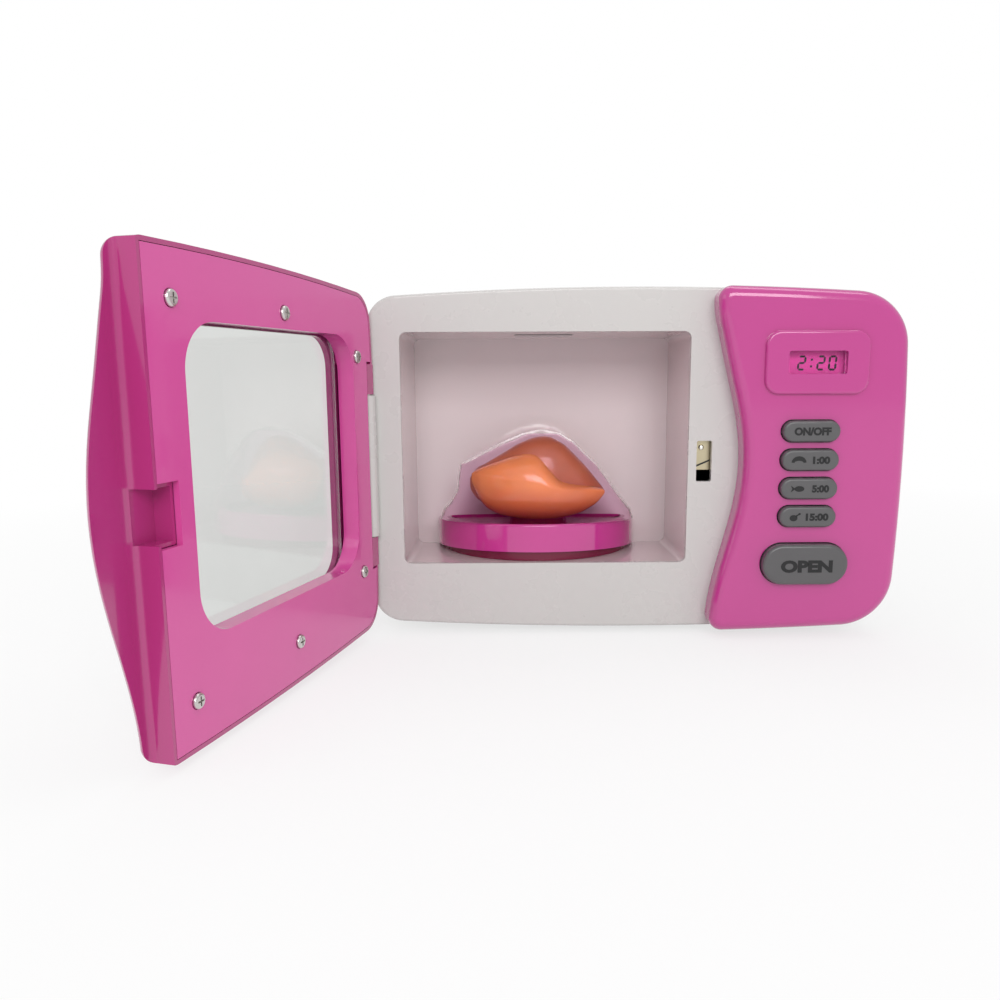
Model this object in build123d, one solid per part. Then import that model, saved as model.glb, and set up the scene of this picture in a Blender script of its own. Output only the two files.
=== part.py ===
from build123d import *
import math
import os

# Body. X right, Y back from the white face, Z up from the lowest point of the body, millimetres.
BODY_WIDTH = 229.0
BODY_HEIGHT = 147.6
BODY_DEPTH = 110.0
SIDE_BOW = 2.3
TOP_BOW = 4.1
BOTTOM_BOW = 3.6
LEFT_CORNER_R = 13.0
RIGHT_CORNER_R = 23.0
WALL = 2.4
FACE_WALL = 2.6
FACE_EDGE_R = 1.2
FRAME_DEPTH = 34.0
SEAM_GAP = 0.3
TONGUE_DEPTH = 4.0
TONGUE_WALL = 1.2
REACH = 1.0

# Oven cavity
CAVITY_X = -37.1
CAVITY_WIDTH = 124.0
CAVITY_FLOOR_Z = 29.2
CAVITY_HEIGHT = 100.0
CAVITY_DEPTH = 50.0
CAVITY_CORNER_R = 3.0
CAVITY_DRAFT = 1.0
LINER_WALL = 1.6
LINER_FLANGE = 4.0
LENS_LENGTH = 26.0
LENS_WIDTH = 14.0
LENS_Y = 26.0
LAMP_R = 2.5
LAMP_HEIGHT = 8.0
LAMP_HOLDER_WALL = 1.6

# Front panel and door, which stand the same height off the white face
FRONT_PROUD = 12.0
SHELL_WALL = 2.2
FRONT_EDGE_R = 4.5
S_EDGE_X = 33.9
S_EDGE_SWELL = 12.7
S_EDGE_Z = 74.0
S_EDGE_PITCH = 150.0
S_EDGE_POINTS = 9
EDGE_CORNER_R = 5.5
BAY_LEFT = 50.0
BAY_RIGHT = 94.0
BAY_LOW = 18.0
BAY_HIGH = 130.0

# Display
DISPLAY_X = 74.6
DISPLAY_Z = 115.7
BEZEL_WIDTH = 43.0
BEZEL_HEIGHT = 26.0
BEZEL_PROUD = 2.0
BEZEL_R = 6.0
BEZEL_EDGE_R = 1.2
WINDOW_WIDTH = 24.2
WINDOW_HEIGHT = 9.4
WINDOW_R = 1.0
WINDOW_FLANGE = 1.4
WINDOW_RECESS = 1.6
FLANGE_THICK = 1.4
CARD_THICK = 0.8
CARD_GAP = 0.1

# Buttons
KEY_X = 73.2
KEY_TOP_Z = 87.5
KEY_PITCH = 12.0
KEY_WIDTH = 23.9
KEY_HEIGHT = 8.8
KEY_PROUD = 3.0
KEY_TRAVEL = 1.2
KEY_EDGE_R = 1.1
KEY_GAP = 0.45
KEY_FLANGE = 1.0
KEY_FLANGE_THICK = 1.2
KEY_SEAT_GAP = 0.3
OPEN_X = 73.0
OPEN_Z = 31.0
OPEN_WIDTH = 36.4
OPEN_HEIGHT = 17.5
OPEN_PROUD = 4.0
OPEN_TRAVEL = 3.5
OPEN_EDGE_R = 1.6
OPEN_STEM_WIDTH = 10.0
OPEN_STEM_HEIGHT = 7.0
NUB_R = 2.8
NUB_CLEARANCE = 0.4
MAT_THICK = 1.2
MAT_WIDTH = 30.0
BOARD_THICK = 1.6
BOARD_WIDTH = 46.0
BOARD_BACK_Y = -1.0
BOARD_LOW = 44.0
BOARD_HIGH = 129.0
STANDOFF_R = 2.6
BOARD_SCREW_Z = 99.0
BOARD_SCREW_SPREAD = 17.4

# Screws
PILOT_R = 1.2
SCREW_R = 1.15
CLEAR_R = 1.6
HEAD_R = 2.5
HEAD_HEIGHT = 1.7
RECESS_ARM = 1.5
RECESS_WIDTH = 0.6
RECESS_DEPTH = 0.9

# Latch
SLOT_X = 31.8
SLOT_Z = 73.9
SLOT_WIDTH = 6.6
SLOT_HEIGHT = 17.7
SLOT_R = 0.8
LATCH_GAP = 1.6
LATCH_THICK = 1.4
LATCH_LEFT = 28.2
LATCH_ARM_LEFT = 35.4
LATCH_RIGHT = 37.8
LATCH_TAIL_Z = 50.0
LATCH_LOW_Z = 69.8
LATCH_TOP_Z = 97.0
RIVET_R = 1.5
RIVET_PROUD = 0.6
RIVET_Z = 79.5
WEDGE_HEIGHT = 12.0
WEDGE_REACH = 12.0
WEDGE_GAP = 0.4
GUIDE_WALL = 1.0
GUIDE_GAP = 0.3
SPRING_R = 2.0
SPRING_HOLE_R = 1.4
SPRING_LENGTH = 14.0

# Hinge
HINGE_X = -112.4
HINGE_Y = -2.8
KNUCKLE_LOW = 42.4
KNUCKLE_HIGH = 102.8
KNUCKLE_R = 3.0
KNUCKLE_GAP = 0.5
WEB_WIDTH = 4.4
PIN_R = 1.0
PIN_FIT = 0.05
PIN_INTO_DOOR = 12.0
HINGE_RELIEF_R = 3.9
DOOR_OPEN_ANGLE = 105.5

# Door, given as it lies closed over the face
DOOR_FACE_GAP = 1.2
DOOR_EDGE_GAP = 0.8
DOOR_WALL_X = 29.8
DOOR_WALL = 1.4
LIP_THICK = 3.0
LIP_ROOT_R = 4.0
HINGE_EDGE_X = -114.4
HINGE_EDGE_Y = -4.3
COVER_THICK = 2.0
COVER_RIM = 1.6
COVER_GAP = 0.2
DOOR_CORNER_R = 5.5
GLAZING_LEFT = -91.0
GLAZING_RIGHT = 11.0
GLAZING_LOW = 30.2
GLAZING_HIGH = 126.2
GLAZING_R = 12.0
REVEAL_LEFT = -95.6
REVEAL_RIGHT = 12.8
REVEAL_LOW = 32.6
REVEAL_HIGH = 126.8
REVEAL_R = 15.0
REVEAL_WALL = 1.6
PANE_THICK = 1.4
PANE_MARGIN = 2.2
PANE_GAP = 0.15
CATCH_LEFT = 20.6
CATCH_LOW = 64.6
CATCH_HIGH = 80.4
CATCH_WALL = 1.2
DOOR_SCREWS = [
    (17.4, 132.2), (-43.5, 132.2), (-99.0, 118.6),
    (17.4, 15.5), (-43.5, 15.5), (-99.0, 29.4),
]
DOOR_BOSS_R = 3.4
SCREW_SINK = 0.5

# Dish and food
DISH_X = -40.1
DISH_R = 47.8
DISH_HEIGHT = 12.4
DISH_WALL = 2.2
DISH_FLOOR = 2.6
DISH_TILT = 4.0
DISH_LIFT = 1.2
DISH_WALL_GAP = 1.3
DISH_BASE_R = 45.0
DISH_RIM_STEP = 3.5
FOOD_GAP = 0.1
BIRD_X = -42.5
BIRD_Y = 27.0
BIRD_Z = 59.5
BIRD_LENGTH = 54.0
BIRD_WIDTH = 32.0
LEG_X = -22.0
LEG_Y = 23.0
LEG_Z = 57.5
LEG_LENGTH = 20.0
LEG_WIDTH = 12.0
DOME_X = -41.0
DOME_Y = 26.5
DOME_Z = 46.6
DOME_LENGTH = 72.0
DOME_WIDTH = 41.0
DOME_RISE = 40.0
DOME_WALL = 1.0
DOME_SKIRT_RIM = 1.2

# Back of the body
BOSS_R = 3.8
TOWER_R = 5.0
TOWER_BORE_R = 3.4
BOSS_END_Y = 40.0
TOWER_FLOOR = 4.0
BODY_SCREWS = [(-105.6, 19.0), (-105.6, 126.0), (101.5, 121.0), (101.5, 26.0)]
PANEL_SCREWS = [(45.0, 135.5), (93.0, 134.5), (44.0, 9.8), (92.0, 11.5)]
LINER_SCREW_INSET = 20.0
BATTERY_X = -20.0
BATTERY_Z = 74.0
CELL_R = 7.15
CELL_LENGTH = 49.5
CELL_NUB_R = 2.6
CELL_NUB = 1.0
CELL_COUNT = 3
CELL_PITCH = 15.6
BOX_WALL = 1.5
BOX_END_ROOM = 3.2
BOX_FLANGE = 5.0
CONTACT_THICK = 0.4
COVER_RIBS = 3
RIB_WIDTH = 2.0
COVER_LEDGE = 3.4
COVER_FIT = 0.4
COVER_CORNER_R = 3.0
SPEAKER_X = 70.0
SPEAKER_Z = 76.0
SPEAKER_R = 20.0
SPEAKER_DEPTH = 9.0
SPEAKER_MAGNET_R = 9.0
SPEAKER_RING = 1.8
GRILLE_BARS = 7
GRILLE_PITCH = 4.6
GRILLE_SLOT = 2.0
GRILLE_R = 17.0

# Feet
FOOT_HEIGHT = 3.0
FOOT_R = 6.5
FOOT_EDGE = 0.8
FOOT_X = 84.0
FOOT_FRONT_Y = 25.0
FOOT_BACK_Y = 94.0
PAD_MARGIN = 1.0
PAD_HEIGHT = 4.6
PEG_R = 2.0
PEG_HEIGHT = 3.4
PEG_FIT = 0.05

WHOLE_TURN = 360.0
HALF = 0.5
TINY = 0.0001

# Places along Y that several pieces share
PANEL_FRONT = -FRONT_PROUD
PANEL_BACK = PANEL_FRONT + SHELL_WALL
KEY_FLANGE_Y = PANEL_BACK + KEY_SEAT_GAP
KEY_REAR_Y = KEY_FLANGE_Y + KEY_FLANGE_THICK
BOARD_FRONT_Y = BOARD_BACK_Y - BOARD_THICK
NUB_FRONT_Y = KEY_REAR_Y + KEY_TRAVEL + NUB_CLEARANCE
LATCH_Y = FACE_WALL + LATCH_GAP
DOOR_BACK = -DOOR_FACE_GAP
DOOR_MID = DOOR_BACK - COVER_THICK
LIP_BACK = PANEL_FRONT + LIP_THICK
LINER_BACK = CAVITY_DEPTH + LINER_WALL
REAR_FRONT_Y = FRAME_DEPTH + SEAM_GAP
REAR_INSIDE_Y = BODY_DEPTH - WALL
TOWER_SEAT_Y = BOSS_END_Y + SEAM_GAP + TOWER_FLOOR
CAVITY_LEFT = CAVITY_X - CAVITY_WIDTH * HALF
CAVITY_RIGHT = CAVITY_X + CAVITY_WIDTH * HALF
CAVITY_MID_Z = CAVITY_FLOOR_Z + CAVITY_HEIGHT * HALF
CAVITY_TOP_Z = CAVITY_FLOOR_Z + CAVITY_HEIGHT


# Shapes drawn on the front plane, first number along X, second along Z
def slab(face, front, back):
    plane = Plane.XZ.offset(-front)
    return extrude(plane * face, amount=back - front, dir=(0, 1, 0))


def frame_rect(left, right, low, high, radius):
    middle = ((left + right) * HALF, (low + high) * HALF)
    return Pos(*middle) * RectangleRounded(right - left, high - low, radius)


def disc(x, z, radius, front, back):
    return slab(Pos(x, z) * Circle(radius), front, back)


def block(left, right, front, back, low, high):
    middle = Pos((left + right) * HALF, (front + back) * HALF, (low + high) * HALF)
    return middle * Box(right - left, back - front, high - low)


def upright(x, y, radius, low, high):
    return Pos(x, y, (low + high) * HALF) * Cylinder(radius, high - low)


def solids_of(*pieces):
    return Compound(children=[Solid(s.wrapped) for piece in pieces for s in piece.solids()])


# The body's rounded outline, with every side moved in by an inset
def body_outline(inset=0):
    half = BODY_WIDTH * HALF - inset
    side = half - SIDE_BOW
    floor = BOTTOM_BOW + inset
    top = BODY_HEIGHT - TOP_BOW - inset
    mid = BODY_HEIGHT * HALF
    under = ThreePointArc((-side, floor), (0, inset), (side, floor))
    right = ThreePointArc((side, floor), (half, mid), (side, top))
    over = ThreePointArc((side, top), (0, BODY_HEIGHT - inset), (-side, top))
    left = ThreePointArc((-side, top), (-half, mid), (-side, floor))
    face = make_face([under, right, over, left])
    face = fillet(face.vertices().sort_by(Axis.X)[:2], LEFT_CORNER_R - inset)
    corners = [v for v in face.vertices() if v.X > side - REACH]
    return fillet(corners, RIGHT_CORNER_R - inset)


def s_edge_x(z):
    turn = WHOLE_TURN * (z - S_EDGE_Z) / S_EDGE_PITCH
    return S_EDGE_X + S_EDGE_SWELL * HALF * (1 + math.cos(math.radians(turn)))


# The whole area on the right of the curved parting line, moved left or right by a shift
def right_of_s_edge(shift):
    low = S_EDGE_Z - S_EDGE_PITCH * HALF
    step = S_EDGE_PITCH / (S_EDGE_POINTS - 1)
    heights = [low + step * i for i in range(S_EDGE_POINTS)]
    points = [(s_edge_x(z) + shift, z) for z in heights]
    edge = Spline(*points, tangents=[(0, 1), (0, 1)])
    far = BODY_WIDTH
    start = (points[0][0], low - BODY_HEIGHT)
    end = (points[-1][0], points[-1][1] + BODY_HEIGHT)
    rest = Polyline(points[-1], end, (far, end[1]), (far, start[1]), start, points[0])
    return make_face([edge, *rest.edges()])


def rounded_front(solid, front, radius):
    edges = [e for e in solid.edges() if abs(e.center().Y - front) < TINY]
    return fillet(edges, radius)


def soft_corners(face, radius, keep):
    corners = [v for v in face.vertices() if keep(v)]
    return fillet(corners, radius)


def panel_outline(inset=0):
    face = body_outline(inset) & right_of_s_edge(inset)
    limit = S_EDGE_X + inset + REACH * 2
    return soft_corners(face, EDGE_CORNER_R - inset, lambda v: v.X < limit)


def door_outline():
    face = body_outline() - right_of_s_edge(-DOOR_EDGE_GAP)
    return soft_corners(face, DOOR_CORNER_R, lambda v: v.X > S_EDGE_X - DOOR_CORNER_R)


# Front frame: white face plate with the cavity mouth, side wall, bosses, foot pads and knuckle
def cavity_mouth():
    return frame_rect(CAVITY_LEFT, CAVITY_RIGHT, CAVITY_FLOOR_Z, CAVITY_TOP_Z, CAVITY_CORNER_R)


def screw_boss(x, z, radius, front, back, bore):
    return disc(x, z, radius, front, back) - disc(x, z, bore, front + REACH * 2, back + REACH)


def foot_pad(x, y):
    return upright(x, y, FOOT_R + PAD_MARGIN, 0, PAD_HEIGHT)


def peg_hole(x, y):
    return upright(x, y, PEG_R + PEG_FIT, -REACH, PEG_HEIGHT + PEG_FIT)


def knuckle():
    barrel = upright(HINGE_X, HINGE_Y, KNUCKLE_R, KNUCKLE_LOW, KNUCKLE_HIGH)
    left = HINGE_X - KNUCKLE_R + WEB_WIDTH * HALF * HALF
    web = block(left, left + WEB_WIDTH, HINGE_Y, REACH, KNUCKLE_LOW, KNUCKLE_HIGH)
    bore = upright(HINGE_X, HINGE_Y, PIN_R + PIN_FIT, KNUCKLE_LOW - REACH, KNUCKLE_HIGH + REACH)
    return barrel + web - bore


def liner_screw_places():
    left = CAVITY_LEFT + LINER_SCREW_INSET
    right = CAVITY_RIGHT - LINER_SCREW_INSET
    low = CAVITY_FLOOR_Z - LINER_WALL - LINER_FLANGE
    high = CAVITY_TOP_Z + LINER_WALL + LINER_FLANGE
    return [(left, low), (right, low), (left, high), (right, high)]


def liner_ear_y():
    return FACE_WALL + FRAME_DEPTH * HALF * HALF


def front_frame():
    outline = body_outline()
    frame = rounded_front(slab(outline, 0, FRAME_DEPTH), 0, FACE_EDGE_R)
    frame -= slab(body_outline(WALL), FACE_WALL, FRAME_DEPTH + REACH)
    frame -= slab(cavity_mouth(), -REACH, FACE_WALL + REACH)
    slot = Pos(SLOT_X, SLOT_Z) * RectangleRounded(SLOT_WIDTH, SLOT_HEIGHT, SLOT_R)
    frame -= slab(slot, -REACH, FACE_WALL + REACH)
    bay = frame_rect(BAY_LEFT, BAY_RIGHT, BAY_LOW, BAY_HIGH, WALL)
    frame -= slab(bay, -REACH, FACE_WALL + REACH)
    frame += knuckle()
    for x, z in BODY_SCREWS:
        frame += screw_boss(x, z, BOSS_R, FACE_WALL, BOSS_END_Y, PILOT_R)
    for x, z in liner_screw_places():
        frame += screw_boss(x, z, HEAD_R, FACE_WALL, liner_ear_y(), PILOT_R)
    for x, z in PANEL_SCREWS:
        frame -= disc(x, z, CLEAR_R, -REACH, FACE_WALL + REACH)
    for x in (-FOOT_X, FOOT_X):
        frame += foot_pad(x, FOOT_FRONT_Y)
        frame -= peg_hole(x, FOOT_FRONT_Y)
    return frame


# Rear shell: back half of the body with screw towers, battery opening and sound slots
def battery_room():
    length = CELL_LENGTH + CELL_NUB + BOX_END_ROOM * 2
    height = CELL_PITCH * CELL_COUNT
    return length, height


def cover_size():
    length, height = battery_room()
    return length + COVER_LEDGE * 2 + HEAD_R * 2, height + COVER_LEDGE * 2


def battery_opening(gap):
    width, height = cover_size()
    corner = COVER_CORNER_R
    return Pos(BATTERY_X, BATTERY_Z) * RectangleRounded(width + gap * 2, height + gap * 2, corner)


def sound_slots():
    slots = []
    for i in range(GRILLE_BARS):
        rise = GRILLE_PITCH * (i - (GRILLE_BARS - 1) * HALF)
        width = 2 * math.sqrt(GRILLE_R**2 - rise**2)
        slots.append(Pos(SPEAKER_X, SPEAKER_Z + rise) * SlotOverall(width, GRILLE_SLOT))
    return slots


def screw_tower(x, z):
    return disc(x, z, TOWER_R, BOSS_END_Y + SEAM_GAP, BODY_DEPTH - REACH)


# The tongue slides inside the front frame's wall, and the rim under it holds the tongue
def seam_tongue():
    outer = body_outline(WALL + SEAM_GAP)
    inner = body_outline(WALL + SEAM_GAP + TONGUE_WALL)
    tip = FRAME_DEPTH - TONGUE_DEPTH
    root = REAR_FRONT_Y + TONGUE_DEPTH
    tongue = slab(outer, tip, root) + slab(body_outline(WALL * HALF), REAR_FRONT_Y, root)
    tongue -= slab(inner, tip - REACH, root + REACH)
    for x, z in BODY_SCREWS:
        tongue -= disc(x, z, BOSS_R + SEAM_GAP, 0, root + REACH)
    for x in (-FOOT_X, FOOT_X):
        reach = FOOT_R + PAD_MARGIN + SEAM_GAP
        tongue -= upright(x, FOOT_FRONT_Y, reach, -REACH, PAD_HEIGHT + WALL)
    return tongue


def speaker_ring():
    front = REAR_INSIDE_Y - SPEAKER_RING * 2
    outer = disc(SPEAKER_X, SPEAKER_Z, SPEAKER_R + SPEAKER_RING + SEAM_GAP, front, BODY_DEPTH - REACH)
    return outer - disc(SPEAKER_X, SPEAKER_Z, SPEAKER_R + SEAM_GAP, 0, BODY_DEPTH)


def rear_shell():
    shell = slab(body_outline(), REAR_FRONT_Y, BODY_DEPTH)
    shell = rounded_front(shell, BODY_DEPTH, FRONT_EDGE_R)
    shell -= slab(body_outline(WALL), REAR_FRONT_Y - REACH, REAR_INSIDE_Y)
    shell += seam_tongue()
    shell += speaker_ring()
    for x, z in BODY_SCREWS:
        shell += screw_tower(x, z)
    for x, z in BODY_SCREWS:
        shell -= disc(x, z, TOWER_BORE_R, TOWER_SEAT_Y, BODY_DEPTH + REACH)
        shell -= disc(x, z, CLEAR_R, BOSS_END_Y, TOWER_SEAT_Y + REACH)
    shell -= slab(battery_opening(COVER_FIT), REAR_INSIDE_Y - REACH, BODY_DEPTH + REACH)
    for slot in sound_slots():
        shell -= slab(slot, REAR_INSIDE_Y - REACH, BODY_DEPTH + REACH)
    for x in (-FOOT_X, FOOT_X):
        shell += foot_pad(x, FOOT_BACK_Y)
        shell -= peg_hole(x, FOOT_BACK_Y)
    return shell


# Oven liner: a box with a level floor, drafted sides and top, open at the front
def liner_section(grow, at_back):
    shrink = CAVITY_DRAFT if at_back else 0
    width = CAVITY_WIDTH + (grow - shrink) * 2
    height = CAVITY_HEIGHT + grow * 2 - shrink
    middle = CAVITY_MID_Z - shrink * HALF
    return Pos(CAVITY_X, middle) * RectangleRounded(width, height, CAVITY_CORNER_R + grow)


def drafted_box(grow, front, back):
    near = Plane.XZ.offset(-front) * liner_section(grow, False)
    far = Plane.XZ.offset(-back) * liner_section(grow, True)
    return loft([near.faces()[0], far.faces()[0]], ruled=True)


def liner_ear(left):
    low = CAVITY_FLOOR_Z - LINER_WALL - LINER_FLANGE * 2
    high = CAVITY_TOP_Z + LINER_WALL + LINER_FLANGE * 2
    face = frame_rect(left - LINER_FLANGE, left + LINER_FLANGE, low, high, LINER_WALL)
    return slab(face, liner_ear_y(), liner_ear_y() + LINER_WALL)


def lens_block(grow, low, high):
    half_length = LENS_LENGTH * HALF + grow
    half_width = LENS_WIDTH * HALF + grow
    left = CAVITY_X - half_length
    right = CAVITY_X + half_length
    return block(left, right, LENS_Y - half_width, LENS_Y + half_width, low, high)


def oven_liner():
    liner = drafted_box(LINER_WALL, FACE_WALL, LINER_BACK)
    liner += liner_ear(CAVITY_LEFT + LINER_SCREW_INSET)
    liner += liner_ear(CAVITY_RIGHT - LINER_SCREW_INSET)
    liner -= drafted_box(0, FACE_WALL, CAVITY_DEPTH)
    for x, z in liner_screw_places():
        liner -= disc(x, z, CLEAR_R, 0, LINER_BACK)
    return liner - lens_block(0, CAVITY_TOP_Z - LINER_WALL, CAVITY_TOP_Z + LINER_WALL * 2)


# Lamp lens: a plug through the liner's top with a wider cap lying on it
def lamp_lens():
    cap_low = CAVITY_TOP_Z + LINER_WALL + CARD_GAP
    plug = lens_block(-CARD_GAP, CAVITY_TOP_Z - CAVITY_DRAFT * HALF, cap_low + LINER_WALL)
    return plug + lens_block(LINER_WALL, cap_low, cap_low + LINER_WALL)


def lamp_seat():
    return CAVITY_TOP_Z + LINER_WALL * 2 + CARD_GAP * 2


def cavity_lamp():
    low = lamp_seat()
    return upright(CAVITY_X, LENS_Y, LAMP_R, low, low + LAMP_HEIGHT - LAMP_R)


def lamp_holder():
    low = lamp_seat()
    half = LENS_WIDTH * HALF
    inner = half - LAMP_HOLDER_WALL
    high = low + LAMP_HEIGHT
    outer = block(CAVITY_X - half, CAVITY_X + half, LENS_Y - half, LENS_Y + half, low, high)
    left = CAVITY_X - inner
    right = CAVITY_X + inner
    return outer - block(left, right, LENS_Y - inner, LENS_Y + inner, low - REACH, high - LAMP_R)


# Control panel: a shell with a curved left edge, raised display surround and five button holes
def key_heights():
    return [KEY_TOP_Z - KEY_PITCH * i for i in range(4)]


def control_panel():
    panel = rounded_front(slab(panel_outline(), PANEL_FRONT, 0), PANEL_FRONT, FRONT_EDGE_R)
    panel -= slab(panel_outline(SHELL_WALL), PANEL_BACK, REACH)
    surround = Pos(DISPLAY_X, DISPLAY_Z) * RectangleRounded(BEZEL_WIDTH, BEZEL_HEIGHT, BEZEL_R)
    front = PANEL_FRONT - BEZEL_PROUD
    panel += rounded_front(slab(surround, front, PANEL_BACK), front, BEZEL_EDGE_R)
    window = Pos(DISPLAY_X, DISPLAY_Z) * RectangleRounded(WINDOW_WIDTH, WINDOW_HEIGHT, WINDOW_R)
    panel -= slab(window, front - REACH, PANEL_BACK + REACH)
    for z in key_heights():
        hole = Pos(KEY_X, z) * SlotOverall(KEY_WIDTH + KEY_GAP * 2, KEY_HEIGHT + KEY_GAP * 2)
        panel -= slab(hole, PANEL_FRONT - REACH, PANEL_BACK + REACH)
    hole = Pos(OPEN_X, OPEN_Z) * SlotOverall(OPEN_WIDTH + KEY_GAP * 2, OPEN_HEIGHT + KEY_GAP * 2)
    panel -= slab(hole, PANEL_FRONT - REACH, PANEL_BACK + REACH)
    for x, z in PANEL_SCREWS:
        panel += disc(x, z, DOOR_BOSS_R, PANEL_BACK - REACH, 0)
        panel -= disc(x, z, PILOT_R, PANEL_BACK + REACH, REACH)
    for side in (-BOARD_SCREW_SPREAD, BOARD_SCREW_SPREAD):
        panel += disc(KEY_X + side, BOARD_SCREW_Z, STANDOFF_R, PANEL_BACK - REACH, BOARD_FRONT_Y)
        panel -= disc(KEY_X + side, BOARD_SCREW_Z, PILOT_R, PANEL_BACK + REACH, REACH)
    return panel


def display_face(grow):
    width = WINDOW_WIDTH + grow * 2
    height = WINDOW_HEIGHT + grow * 2
    return Pos(DISPLAY_X, DISPLAY_Z) * RectangleRounded(width, height, WINDOW_R)


def display_window():
    front = PANEL_FRONT - BEZEL_PROUD + WINDOW_RECESS
    seat = PANEL_BACK + CARD_GAP
    lens = slab(display_face(-CARD_GAP), front, seat + FLANGE_THICK)
    return lens + slab(display_face(WINDOW_FLANGE), seat, seat + FLANGE_THICK)


def display_card():
    front = PANEL_BACK + CARD_GAP * 2 + FLANGE_THICK
    return slab(display_face(WINDOW_FLANGE), front, front + CARD_THICK)


def display_module():
    front = PANEL_BACK + CARD_GAP * 3 + FLANGE_THICK + CARD_THICK
    return slab(display_face(WINDOW_FLANGE * HALF), front, BOARD_FRONT_Y - CARD_GAP)


def push_button(x, z, width, height, proud, edge, rear):
    cap = slab(Pos(x, z) * SlotOverall(width, height), PANEL_FRONT - proud, KEY_FLANGE_Y + REACH * HALF)
    cap = rounded_front(cap, PANEL_FRONT - proud, edge)
    rim = SlotOverall(width + KEY_GAP * 2 + KEY_FLANGE * 2, height + KEY_GAP * 2 + KEY_FLANGE * 2)
    return cap + slab(Pos(x, z) * rim, KEY_FLANGE_Y, rear)


def key_button(z):
    return push_button(KEY_X, z, KEY_WIDTH, KEY_HEIGHT, KEY_PROUD, KEY_EDGE_R, KEY_REAR_Y)


# The open button's stem ends in a slope that lifts the latch plate, one for one
def open_button():
    button = push_button(
        OPEN_X, OPEN_Z, OPEN_WIDTH, OPEN_HEIGHT, OPEN_PROUD, OPEN_EDGE_R, KEY_REAR_Y)
    low = OPEN_Z - OPEN_STEM_HEIGHT * HALF
    high = OPEN_Z + OPEN_STEM_HEIGHT * HALF
    root = KEY_REAR_Y - REACH * HALF
    tip = wedge_tip_y()
    points = [(root, low), (tip, low), (tip - OPEN_STEM_HEIGHT, high), (root, high)]
    return button + side_profile(points, OPEN_X - OPEN_STEM_WIDTH * HALF, OPEN_STEM_WIDTH)


# Points run along Y then Z, and the shape is drawn out along X from its left face
def side_profile(points, left, width):
    edges = Polyline(*points, points[0]).edges()
    return extrude(Plane.YZ.offset(left) * make_face(edges), amount=width, dir=(1, 0, 0))


def wedge_tip_y():
    return LATCH_Y + LATCH_THICK + WEDGE_REACH


# The latch plate's slope faces the stem's slope across a steady gap
def latch_wedge():
    low = OPEN_Z + OPEN_STEM_HEIGHT * HALF + WEDGE_GAP
    foot = wedge_tip_y() - OPEN_STEM_HEIGHT + WEDGE_GAP
    back = wedge_tip_y() + REACH
    high = LATCH_TAIL_Z + WEDGE_HEIGHT * HALF
    step = WEDGE_HEIGHT * HALF
    root = LATCH_Y
    points = [(foot, low), (back, low), (back, high), (root, high), (root, LATCH_TAIL_Z)]
    points.append((foot - step, low + step))
    return side_profile(points, OPEN_X - OPEN_STEM_WIDTH * HALF, OPEN_STEM_WIDTH)


def latch_plate():
    back = LATCH_Y + LATCH_THICK
    right = OPEN_X + OPEN_STEM_WIDTH * HALF
    high = LATCH_TAIL_Z + WEDGE_HEIGHT * HALF
    face = block(LATCH_LEFT, LATCH_RIGHT, LATCH_Y, back, LATCH_LOW_Z, LATCH_TOP_Z)
    arm = block(LATCH_ARM_LEFT, LATCH_RIGHT, LATCH_Y, back, LATCH_TAIL_Z, LATCH_LOW_Z + REACH)
    tail = block(LATCH_ARM_LEFT, right, LATCH_Y, back, LATCH_TAIL_Z, high)
    rivet = disc(SLOT_X, RIVET_Z, RIVET_R, LATCH_Y - RIVET_PROUD, LATCH_Y)
    return face + arm + tail + rivet + latch_wedge()


def spring_low():
    return LATCH_TOP_Z + GUIDE_GAP


def latch_spring():
    y = LATCH_Y + LATCH_THICK * HALF
    low = spring_low()
    outer = upright(SLOT_X, y, SPRING_R, low, low + SPRING_LENGTH)
    return outer - upright(SLOT_X, y, SPRING_HOLE_R, low - REACH, low + SPRING_LENGTH + REACH)


# The guide holds the plate against the face and closes the spring's upper end
def latch_guide():
    left = LATCH_LEFT - GUIDE_GAP
    right = LATCH_RIGHT + GUIDE_GAP
    low = LATCH_LOW_Z + OPEN_TRAVEL
    high = spring_low() + SPRING_LENGTH + GUIDE_GAP
    behind = LATCH_Y + LATCH_THICK + GUIDE_GAP
    back = behind + SPRING_R
    outer_back = back + GUIDE_WALL
    guide = block(left - GUIDE_WALL, right + GUIDE_WALL, FACE_WALL, outer_back, low, high + GUIDE_WALL)
    guide -= block(left, right, FACE_WALL - REACH, back, low - REACH, high)
    return guide + block(left, right, behind, back + TINY, low, LATCH_TOP_Z - SPRING_R)


def keypad_mat():
    low = key_heights()[-1] - KEY_HEIGHT * HALF
    high = key_heights()[0] + KEY_HEIGHT * HALF
    half = MAT_WIDTH * HALF
    sheet = frame_rect(KEY_X - half, KEY_X + half, low, high, REACH)
    mat = slab(sheet, BOARD_FRONT_Y - MAT_THICK, BOARD_FRONT_Y)
    for z in key_heights():
        mat += disc(KEY_X, z, NUB_R, NUB_FRONT_Y, BOARD_FRONT_Y - MAT_THICK)
    return mat


def switch_board():
    half = BOARD_WIDTH * HALF
    face = frame_rect(KEY_X - half, KEY_X + half, BOARD_LOW, BOARD_HIGH, REACH)
    board = slab(face, BOARD_FRONT_Y, BOARD_BACK_Y)
    for side in (-BOARD_SCREW_SPREAD, BOARD_SCREW_SPREAD):
        board -= disc(KEY_X + side, BOARD_SCREW_Z, CLEAR_R, -FRONT_PROUD, 0)
    return board


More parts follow.
